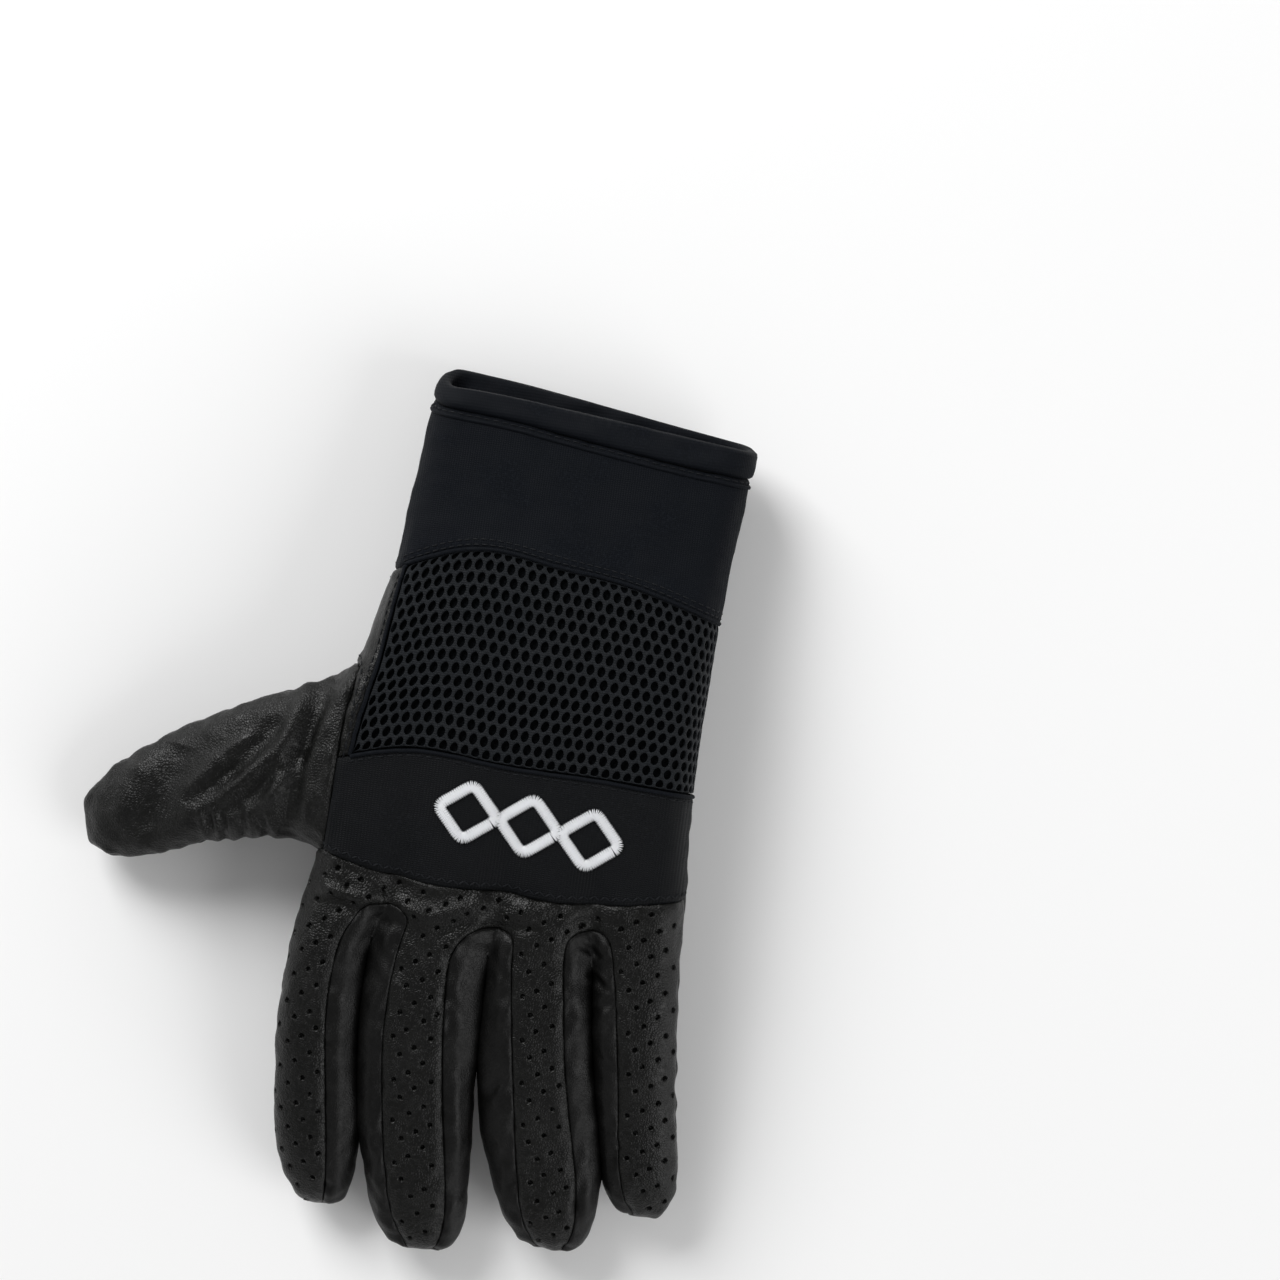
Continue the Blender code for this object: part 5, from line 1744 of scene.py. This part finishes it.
# %% Sew the rows
SEWN_ROWS = (
    # on_panel, beside_panel, offset, spacing, length, width, zigzag_degrees
    ("cuff_back", "cuff_binding", 1.2, 2.6, 2.2, 0.50, 0),
    ("cuff_palm", "cuff_binding", 1.2, 2.6, 2.2, 0.50, 0),
    ("cuff_back", "mesh", 1.5, 2.4, 2.0, 0.50, 0),
    ("cuff_back", "mesh", 3.0, 2.4, 2.0, 0.50, 0),
    ("cuff_palm", "palm", 1.8, 2.6, 2.1, 0.50, 0),
    ("knuckle_band", "finger_backs", 1.9, 1.6, 2.2, 0.55, 38),
    ("knuckle_band", "mesh", 1.6, 2.8, 2.2, 0.45, 0),
    ("palm", "mesh", 1.9, 2.8, 2.2, 0.45, 0),
    ("palm", "cuff_palm", 2.2, 2.8, 2.2, 0.45, 0),
    ("palm", "thumb_front", 2.2, 3.0, 2.3, 0.45, 0),
    ("palm", "thumb_back", 2.2, 3.0, 2.3, 0.45, 0),
)


def sew_rows():
    for number, (panel, beside, offset, spacing, length, width, zigzag) in enumerate(SEWN_ROWS):
        paths = [beside_seam(line, panel, offset * MM, 0.05 * MM) for line in seam_lines(panel, beside)]
        name = f"stitches_{number + 1}_{panel}"
        obj = grow(name, path_mesh(name, paths), STITCHES, {
            "Spacing": spacing * MM,
            "Length": length * MM,
            "Width": width * MM,
            "Height": 0.45 * MM,
            "Zigzag": math.radians(zigzag),
            "Material": BLACK_THREAD,
        })
        dressed(obj, BLACK_THREAD, None)


sew_rows()

# %% [markdown]
# A thin corded edge, the piping, frames the mesh and follows the binding. A tube along the same kind of path
# makes it, in a tree of its own.

# %% Lay the piping
def cord_tree():
    tree, given, made = geometry_tree("lay_cord", [
        ("Radius", "Float", 0.5 * MM),
        ("Spacing", "Float", 1.0 * MM),
        ("Material", "Material", None),
    ])
    line = tree.nodes.new("GeometryNodeMeshToCurve")
    tree.links.new(given.outputs["Geometry"], line.inputs["Mesh"])
    even = add_node(tree, "GeometryNodeResampleCurve", mode="LENGTH")
    tree.links.new(line.outputs[0], even.inputs[0])
    tree.links.new(given.outputs["Spacing"], even.inputs["Length"])
    ring = add_node(tree, "GeometryNodeCurvePrimitiveCircle", Resolution=8)
    tree.links.new(given.outputs["Radius"], ring.inputs["Radius"])
    tube = tree.nodes.new("GeometryNodeCurveToMesh")
    tree.links.new(even.outputs[0], tube.inputs["Curve"])
    tree.links.new(ring.outputs[0], tube.inputs["Profile Curve"])
    tube.inputs["Fill Caps"].default_value = True
    paint = tree.nodes.new("GeometryNodeSetMaterial")
    tree.links.new(given.outputs["Material"], paint.inputs["Material"])
    chain(tree, tube, paint, made)
    return tree


PIPING_RADIUS = 0.6 * MM
PIPED_SEAMS = (
    # on_panel, beside_panel, offset, lift
    ("cuff_back", "mesh", 0.2, 0.35),
    ("palm", "mesh", 0.2, 0.35),
    ("knuckle_band", "mesh", 0.2, 0.35),
    ("cuff_back", "cuff_binding", 2.5, 0.10),
    ("cuff_palm", "cuff_binding", 2.5, 0.10),
)


def pipe_seams():
    paths = []
    for panel, beside, offset, lift in PIPED_SEAMS:
        for line in seam_lines(panel, beside):
            paths.append(beside_seam(line, panel, offset * MM, lift * MM))
    piping = grow("seam_piping", path_mesh("seam_piping", paths), cord_tree(), {
        "Radius": PIPING_RADIUS,
        "Spacing": 1.0 * MM,
        "Material": TAPE,
    })
    dressed(piping, TAPE, None)


pipe_seams()

# %% [markdown]
# ## The motif
# A plain chain of three lozenges is embroidered on the band in satin stitch: close threads laid across each
# stroke. They are lifted off the band, as a thin felt pad would lift them, for the raised, rounded look of
# embroidery.

# %% Embroider the chain
MOTIF_STEP = 0.34 * MM
MOTIF_PAD = 0.45 * MM
CORNER_SHARE = 0.16
CORNER_STEPS = 5


def motif_loops():
    """Each lozenge of the chain as a closed loop of flat points with rounded corners."""
    pitch = EMBLEM_LENGTH / EMBLEM_LOZENGES
    reach = np.array([pitch / 2 - 0.1 * MM, (EMBLEM_HEIGHT - EMBLEM_STROKE) / 2])
    turn = np.array([[math.cos(EMBLEM_TILT), -math.sin(EMBLEM_TILT)], [math.sin(EMBLEM_TILT), math.cos(EMBLEM_TILT)]])
    corners = [np.array(corner) * reach for corner in ((1, 0), (0, 1), (-1, 0), (0, -1))]
    loops = []
    for k in range(EMBLEM_LOZENGES):
        middle = np.array([(k + 0.5) * pitch - EMBLEM_LENGTH / 2, 0.0])
        loop = []
        for before, corner, after in zip(corners[-1:] + corners[:-1], corners, corners[1:] + corners[:1]):
            first = corner + (before - corner) * CORNER_SHARE
            last = corner + (after - corner) * CORNER_SHARE
            for s in np.linspace(0, 1, CORNER_STEPS):
                loop.append(first * (1 - s) ** 2 + corner * 2 * s * (1 - s) + last * s ** 2)
        loops.append([turn @ (p + middle) + np.array(EMBLEM_CENTRE) for p in [*loop, loop[0]]])
    return loops


def laid_path(surface, places, lift):
    """A flat path laid on the band from above, with more points along it."""
    path = []
    for first, last in zip(places, places[1:]):
        steps = int(np.linalg.norm(last - first) / (0.6 * MM)) + 1
        for t in np.arange(steps) / steps:
            x, y = first + (last - first) * t
            spot, normal, _, _ = surface.ray_cast(Vector((x, y, 4 * HAND_DEPTH)), Vector((0, 0, -1)))
            path.append((spot + normal * lift, normal))
    return path


def embroider():
    band = surfaces["knuckle_band"]
    paths = [laid_path(band, loop, MOTIF_PAD) for loop in motif_loops()]
    motif = grow("lozenge_embroidery", path_mesh("lozenge_embroidery", paths), STITCHES, {
        "Spacing": MOTIF_STEP,
        "Length": EMBLEM_STROKE * 1.02,
        "Width": 0.42 * MM,
        "Height": 0.8 * MM,
        "Turn": math.radians(90),
        "Zigzag": math.radians(2),
        "Material": WHITE_THREAD,
    })
    dressed(motif, WHITE_THREAD, "emblem")


embroider()

# %% [markdown]
# ## Hook and pile
# The puck is held by hook tape, and the patches that it sticks to are covered in curly pile. A tree scatters
# small loops of yarn over a surface, each turned and sized at random from a fixed seed.

# %% The pile tree
def pile_tree():
    tree, given, made = geometry_tree("loop_pile", [
        ("Gap", "Float", 0.6 * MM),
        ("Density", "Float", 3.0e6),
        ("Loop Radius", "Float", 0.5 * MM),
        ("Yarn Radius", "Float", 0.09 * MM),
        ("Sweep", "Float", math.radians(250)),
        ("Seed", "Int", 1),
        ("Material", "Material", None),
    ])
    scatter = add_node(tree, "GeometryNodeDistributePointsOnFaces", distribute_method="POISSON")
    tree.links.new(given.outputs["Geometry"], scatter.inputs["Mesh"])
    tree.links.new(given.outputs["Gap"], scatter.inputs["Distance Min"])
    tree.links.new(given.outputs["Density"], scatter.inputs["Density Max"])
    tree.links.new(given.outputs["Seed"], scatter.inputs["Seed"])

    arc = add_node(tree, "GeometryNodeCurveArc", Resolution=7)
    tree.links.new(given.outputs["Loop Radius"], arc.inputs["Radius"])
    tree.links.new(given.outputs["Sweep"], arc.inputs["Sweep Angle"])
    arc.inputs["Start Angle"].default_value = math.radians(-35)
    ring = add_node(tree, "GeometryNodeCurvePrimitiveCircle", Resolution=3)
    tree.links.new(given.outputs["Yarn Radius"], ring.inputs["Radius"])
    tube = tree.nodes.new("GeometryNodeCurveToMesh")
    tree.links.new(arc.outputs[0], tube.inputs["Curve"])
    tree.links.new(ring.outputs[0], tube.inputs["Profile Curve"])
    tube.inputs["Fill Caps"].default_value = True
    stand = tree.nodes.new("GeometryNodeTransform")
    stand.inputs["Rotation"].default_value = (math.radians(90), 0, 0)
    lift = math_node(tree, "MULTIPLY", given.outputs["Loop Radius"], 0.55)
    place = tree.nodes.new("ShaderNodeCombineXYZ")
    tree.links.new(lift, place.inputs["Z"])
    tree.links.new(place.outputs[0], stand.inputs["Translation"])
    tree.links.new(tube.outputs[0], stand.inputs["Geometry"])

    spin = add_node(tree, "FunctionNodeRandomValue", data_type="FLOAT_VECTOR")
    spin.inputs["Min"].default_value = (-0.5, -0.5, 0)
    spin.inputs["Max"].default_value = (0.5, 0.5, 2 * math.pi)
    tree.links.new(given.outputs["Seed"], spin.inputs["Seed"])
    turn = tree.nodes.new("FunctionNodeEulerToRotation")
    tree.links.new(spin.outputs[0], turn.inputs[0])
    turned = add_node(tree, "FunctionNodeRotateRotation", rotation_space="LOCAL")
    tree.links.new(scatter.outputs["Rotation"], turned.inputs["Rotation"])
    tree.links.new(turn.outputs[0], turned.inputs["Rotate By"])
    size = add_node(tree, "FunctionNodeRandomValue", data_type="FLOAT")
    size.inputs[2].default_value = 0.7
    size.inputs[3].default_value = 1.2

    lay = tree.nodes.new("GeometryNodeInstanceOnPoints")
    tree.links.new(scatter.outputs["Points"], lay.inputs["Points"])
    tree.links.new(stand.outputs[0], lay.inputs["Instance"])
    tree.links.new(turned.outputs[0], lay.inputs["Rotation"])
    tree.links.new(size.outputs[1], lay.inputs["Scale"])
    real = tree.nodes.new("GeometryNodeRealizeInstances")
    paint = tree.nodes.new("GeometryNodeSetMaterial")
    tree.links.new(given.outputs["Material"], paint.inputs["Material"])
    chain(tree, lay, real, paint, made)
    return tree


PILE_LOOPS = pile_tree()

# %% [markdown]
# The pile patch on the palm side of the cuff is a trapezoid of tape sewn onto the neoprene. A grid between the
# cage's rows gives its outline, and each of its points drops onto the finished cuff.

# %% The cuff's pile patch
PATCH_STEPS = 4
TAPE_THICKNESS = 0.7 * MM


def patch_grid():
    """Points of the cuff's patch, row by row, snapped onto the cuff with the surface's direction."""
    first, last = WRIST_PATCH_ROWS
    start, stop = WRIST_PATCH_COLUMNS
    surface = surfaces["cuff_palm"]
    lines = []
    for row in range(first, last):
        near, far = ([skin.points[k] for k in rows[r][1][start : stop + 1]] for r in (row, row + 1))
        steps = range(PATCH_STEPS + (row == last - 1))
        for share in (s / PATCH_STEPS for s in steps):
            line = [a.lerp(b, share) for a, b in zip(near, far)]
            lines.append(even_line(line, PATCH_STEPS * (stop - start) + 1))
    return [[surface.find_nearest(point)[:2] for point in line] for line in lines]


def tape_mesh(name, grid, base, thickness):
    """A thin plate over a grid of places, closed all round."""
    height, width = len(grid), len(grid[0])
    points = [spot + normal * (base + thickness) for line in grid for spot, normal in line]
    points += [spot + normal * base for line in grid for spot, normal in line]
    count = height * width
    faces = []
    for i in range(height - 1):
        for j in range(width - 1):
            a, b = i * width + j, (i + 1) * width + j
            faces.append((a, a + 1, b + 1, b))
            faces.append((a + count, b + count, b + 1 + count, a + 1 + count))
    border = [j for j in range(width)] + [i * width + width - 1 for i in range(1, height)]
    border += [(height - 1) * width + j for j in range(width - 2, -1, -1)]
    border += [i * width for i in range(height - 2, 0, -1)]
    for a, b in zip(border, border[1:] + border[:1]):
        faces.append((b, a, a + count, b + count))
    mesh = bpy.data.meshes.new(name)
    mesh.from_pydata([tuple(p) for p in points], [], faces)
    bm = bmesh.new()
    bm.from_mesh(mesh)
    bmesh.ops.recalc_face_normals(bm, faces=bm.faces)
    bm.to_mesh(mesh)
    bm.free()
    return mesh


def surface_mesh(name, grid, lift, margin):
    """The open upper face of a tape, a little inside its border, for pile to grow on."""
    inner = [line[margin:-margin] for line in grid[margin:-margin]]
    width = len(inner[0])
    faces = [
        (i * width + j, i * width + j + 1, (i + 1) * width + j + 1, (i + 1) * width + j)
        for i in range(len(inner) - 1)
        for j in range(width - 1)
    ]
    points = [tuple(spot + normal * lift) for line in inner for spot, normal in line]
    mesh = bpy.data.meshes.new(name)
    mesh.from_pydata(points, [], faces)
    return turned_outwards(mesh, inner[0][0][1])


def turned_outwards(mesh, direction):
    """Flips a mesh whose first face looks away from the direction."""
    if Vector(mesh.polygons[0].normal).dot(direction) < 0:
        mesh.flip_normals()
    return mesh


def cuff_pile():
    grid = patch_grid()
    tape = bpy.data.objects.new("cuff_pile_tape", tape_mesh("cuff_pile_tape", grid, 0.15 * MM, TAPE_THICKNESS))
    dressed(tape, PILE, "wrist_loop_patch")
    ground = surface_mesh("cuff_pile_loops", grid, 0.15 * MM + TAPE_THICKNESS, 2)
    loops = grow("cuff_pile_loops", ground, PILE_LOOPS, {
        "Gap": 0.62 * MM,
        "Density": 4.0e6,
        "Loop Radius": 0.5 * MM,
        "Yarn Radius": 0.1 * MM,
        "Seed": 4,
        "Material": PILE,
    })
    dressed(loops, PILE, None)
    edge = [[line[1] for line in grid], [line[-2] for line in grid], grid[1], grid[-2]]
    paths = [[(spot + normal * (TAPE_THICKNESS + 0.2 * MM), normal) for spot, normal in line] for line in edge]
    sewn = grow("cuff_pile_stitches", path_mesh("cuff_pile_stitches", paths), STITCHES, {
        "Spacing": 2.6 * MM,
        "Length": 2.1 * MM,
        "Width": 0.5 * MM,
        "Height": 0.4 * MM,
        "Material": BLACK_THREAD,
    })
    dressed(sewn, BLACK_THREAD, None)


cuff_pile()

# %% [markdown]
# The patch under the palm is a flat pad with round corners and a corded edge. Its pile shows only where it
# reaches past the puck. Rings of points, drawn in from its outline, make the pad and its edge.

# %% The palm's pile patch
OUTLINE_STEPS = 12


def rounded_outline(width, length, corner, inset):
    """Points round a rectangle with round corners, drawn in by the inset."""
    radius = max(corner - inset, 0.5 * MM)
    points = []
    for quarter in range(4):
        turn = math.pi / 2 * quarter
        sx, sy = ((1, 1), (-1, 1), (-1, -1), (1, -1))[quarter]
        centre = (sx * (width / 2 - corner), sy * (length / 2 - corner))
        for k in range(OUTLINE_STEPS + 1):
            angle = turn + math.pi / 2 * k / OUTLINE_STEPS
            points.append((centre[0] + radius * math.cos(angle), centre[1] + radius * math.sin(angle)))
    return points


def ringed_mesh(name, rings):
    """A closed mesh from rings of equal point counts, with a face over the first and the last."""
    count = len(rings[0])
    bm = bmesh.new()
    verts = [[bm.verts.new(point) for point in ring] for ring in rings]
    for near, far in zip(verts, verts[1:]):
        for k in range(count):
            bm.faces.new((near[k], near[(k + 1) % count], far[(k + 1) % count], far[k]))
    bm.faces.new(verts[0])
    bm.faces.new(verts[-1])
    bmesh.ops.recalc_face_normals(bm, faces=bm.faces)
    mesh = bpy.data.meshes.new(name)
    bm.to_mesh(mesh)
    bm.free()
    return mesh


def palm_patch():
    bottom = PUCK_THICKNESS + PAD_THICKNESS + 2 * GAP
    middle = bottom + PAD_THICKNESS / 2
    half = PAD_THICKNESS / 2
    profile = [(8.0, -0.55), (2.4, -0.55), (1.7, -0.45)]
    profile += [(0.8 * (1 - math.cos(a)), -math.sin(a)) for a in np.linspace(1.9, -1.9, 9)[0:0]]
    for step in range(9):
        angle = math.radians(-110 + 220 * step / 8)
        profile.append((0.8 - 0.8 * math.cos(angle), math.sin(angle)))
    profile += [(1.7, 0.45), (2.4, 0.55), (8.0, 0.55)]
    rings = []
    for inset, height in profile:
        outline = rounded_outline(LOOP_PATCH_WIDTH, LOOP_PATCH_LENGTH, LOOP_PATCH_CORNER, inset * MM)
        rings.append([(x, y + LOOP_PATCH_SHIFT, middle + half * height) for x, y in outline])
    pad = bpy.data.objects.new("palm_pile_tape", ringed_mesh("palm_pile_tape", rings))
    dressed(pad, PILE, "palm_loop_patch")


palm_patch()

# %% [markdown]
# ## The puck
# The puck is a turned disc of hard plastic. A profile, spun about the vertical, gives it its broad slanted rim
# and small rounded edges. Use has nicked the rim, so a few bites are pressed into it afterwards.

# %% Turn and wear the puck
SPIN_STEPS = 160
NICKS = (
    # angle_degrees, height, width, depth, all lengths in millimetres
    (12, 3.2, 1.6, 0.35),
    (47, 2.0, 2.4, 0.30),
    (95, 4.4, 1.2, 0.30),
    (131, 1.0, 2.2, 0.40),
    (168, 3.0, 1.5, 0.35),
    (203, 6.0, 1.3, 0.25),
    (238, 1.6, 2.6, 0.40),
    (262, 3.4, 1.4, 0.35),
    (301, 8.5, 1.2, 0.25),
    (334, 2.4, 2.0, 0.30),
)


def arc_points(centre, radius, first, last, steps):
    """Points of an arc in the profile's plane, with its angles in degrees."""
    angles = np.radians(np.linspace(first, last, steps))
    return [(centre[0] + radius * math.cos(a), centre[1] + radius * math.sin(a)) for a in angles]


def spun_mesh(name, profile):
    """A closed mesh: the profile spun about the vertical, with faces over both ends."""
    rings = []
    for radius, height in profile:
        angles = [2 * math.pi * k / SPIN_STEPS for k in range(SPIN_STEPS)]
        rings.append([(radius * math.cos(a), radius * math.sin(a), height) for a in angles])
    return ringed_mesh(name, rings)


def puck_profile():
    """The puck's section, from the middle of its top, round its side, to the middle of its sliding face."""
    radius, edge = PUCK_DIAMETER / 2, PUCK_EDGE_ROUND
    slant = math.degrees(math.atan2(PUCK_CHAMFER_HEIGHT, PUCK_CHAMFER_WIDTH))
    profile = [(r * radius, PUCK_THICKNESS) for r in (0.2, 0.5, 0.75, 0.92)]
    profile += arc_points((radius - edge, PUCK_THICKNESS - edge), edge, 90, 0, 8)
    profile += [(radius, h * MM) for h in (8.5, 7.0, 5.5, 4.8)]
    profile += arc_points((radius - 0.8 * MM, PUCK_CHAMFER_HEIGHT + 1.0 * MM), 0.8 * MM, 0, slant - 90, 6)
    low = radius - PUCK_CHAMFER_WIDTH
    start = profile[-1]
    profile += [(start[0] + (low - start[0]) * t, start[1] * (1 - t)) for t in (0.2, 0.4, 0.6, 0.8, 0.95)]
    profile += [(low - 0.6 * MM, 0.0)]
    profile += [(r * radius, 0.0) for r in (0.80, 0.6, 0.4, 0.2)]
    return profile


def nick(mesh):
    """Presses small bites into the puck's side."""
    points = read(mesh.vertices, "co", 3)
    angle = np.degrees(np.arctan2(points[:, 1], points[:, 0])) % 360
    radius = np.hypot(points[:, 0], points[:, 1])
    away = points[:, :2] / np.maximum(radius, 1e-6)[:, None]
    for at, height, width, depth in NICKS:
        along = np.radians((angle - at + 180) % 360 - 180) * radius / MM
        up = points[:, 2] / MM - height
        bite = depth * np.exp(-((along / width) ** 2) - (up / 1.2) ** 2) * (radius > 0.8 * PUCK_DIAMETER / 2)
        points[:, :2] -= away * (bite * MM)[:, None]
    mesh.vertices.foreach_set("co", points.ravel())


def puck_piece():
    mesh = spun_mesh("slide_puck", puck_profile())
    nick(mesh)
    dressed(bpy.data.objects.new("slide_puck", mesh), PUCK_PLASTIC, "puck")


def hook_piece():
    base = PUCK_THICKNESS + GAP
    radius = PUCK_DIAMETER / 2 - HOOK_PAD_MARGIN
    profile = [(0.3 * radius, base + PAD_THICKNESS * 0.6), (0.97 * radius, base + PAD_THICKNESS * 0.6)]
    profile += arc_points((radius - 0.4 * MM, base + PAD_THICKNESS * 0.6 - 0.4 * MM), 0.4 * MM, 90, 0, 5)
    profile += [(radius, base), (0.3 * radius, base)]
    pad = bpy.data.objects.new("puck_hook_tape", spun_mesh("puck_hook_tape", profile))
    dressed(pad, HOOKS, "puck_hook_pad")


puck_piece()
hook_piece()
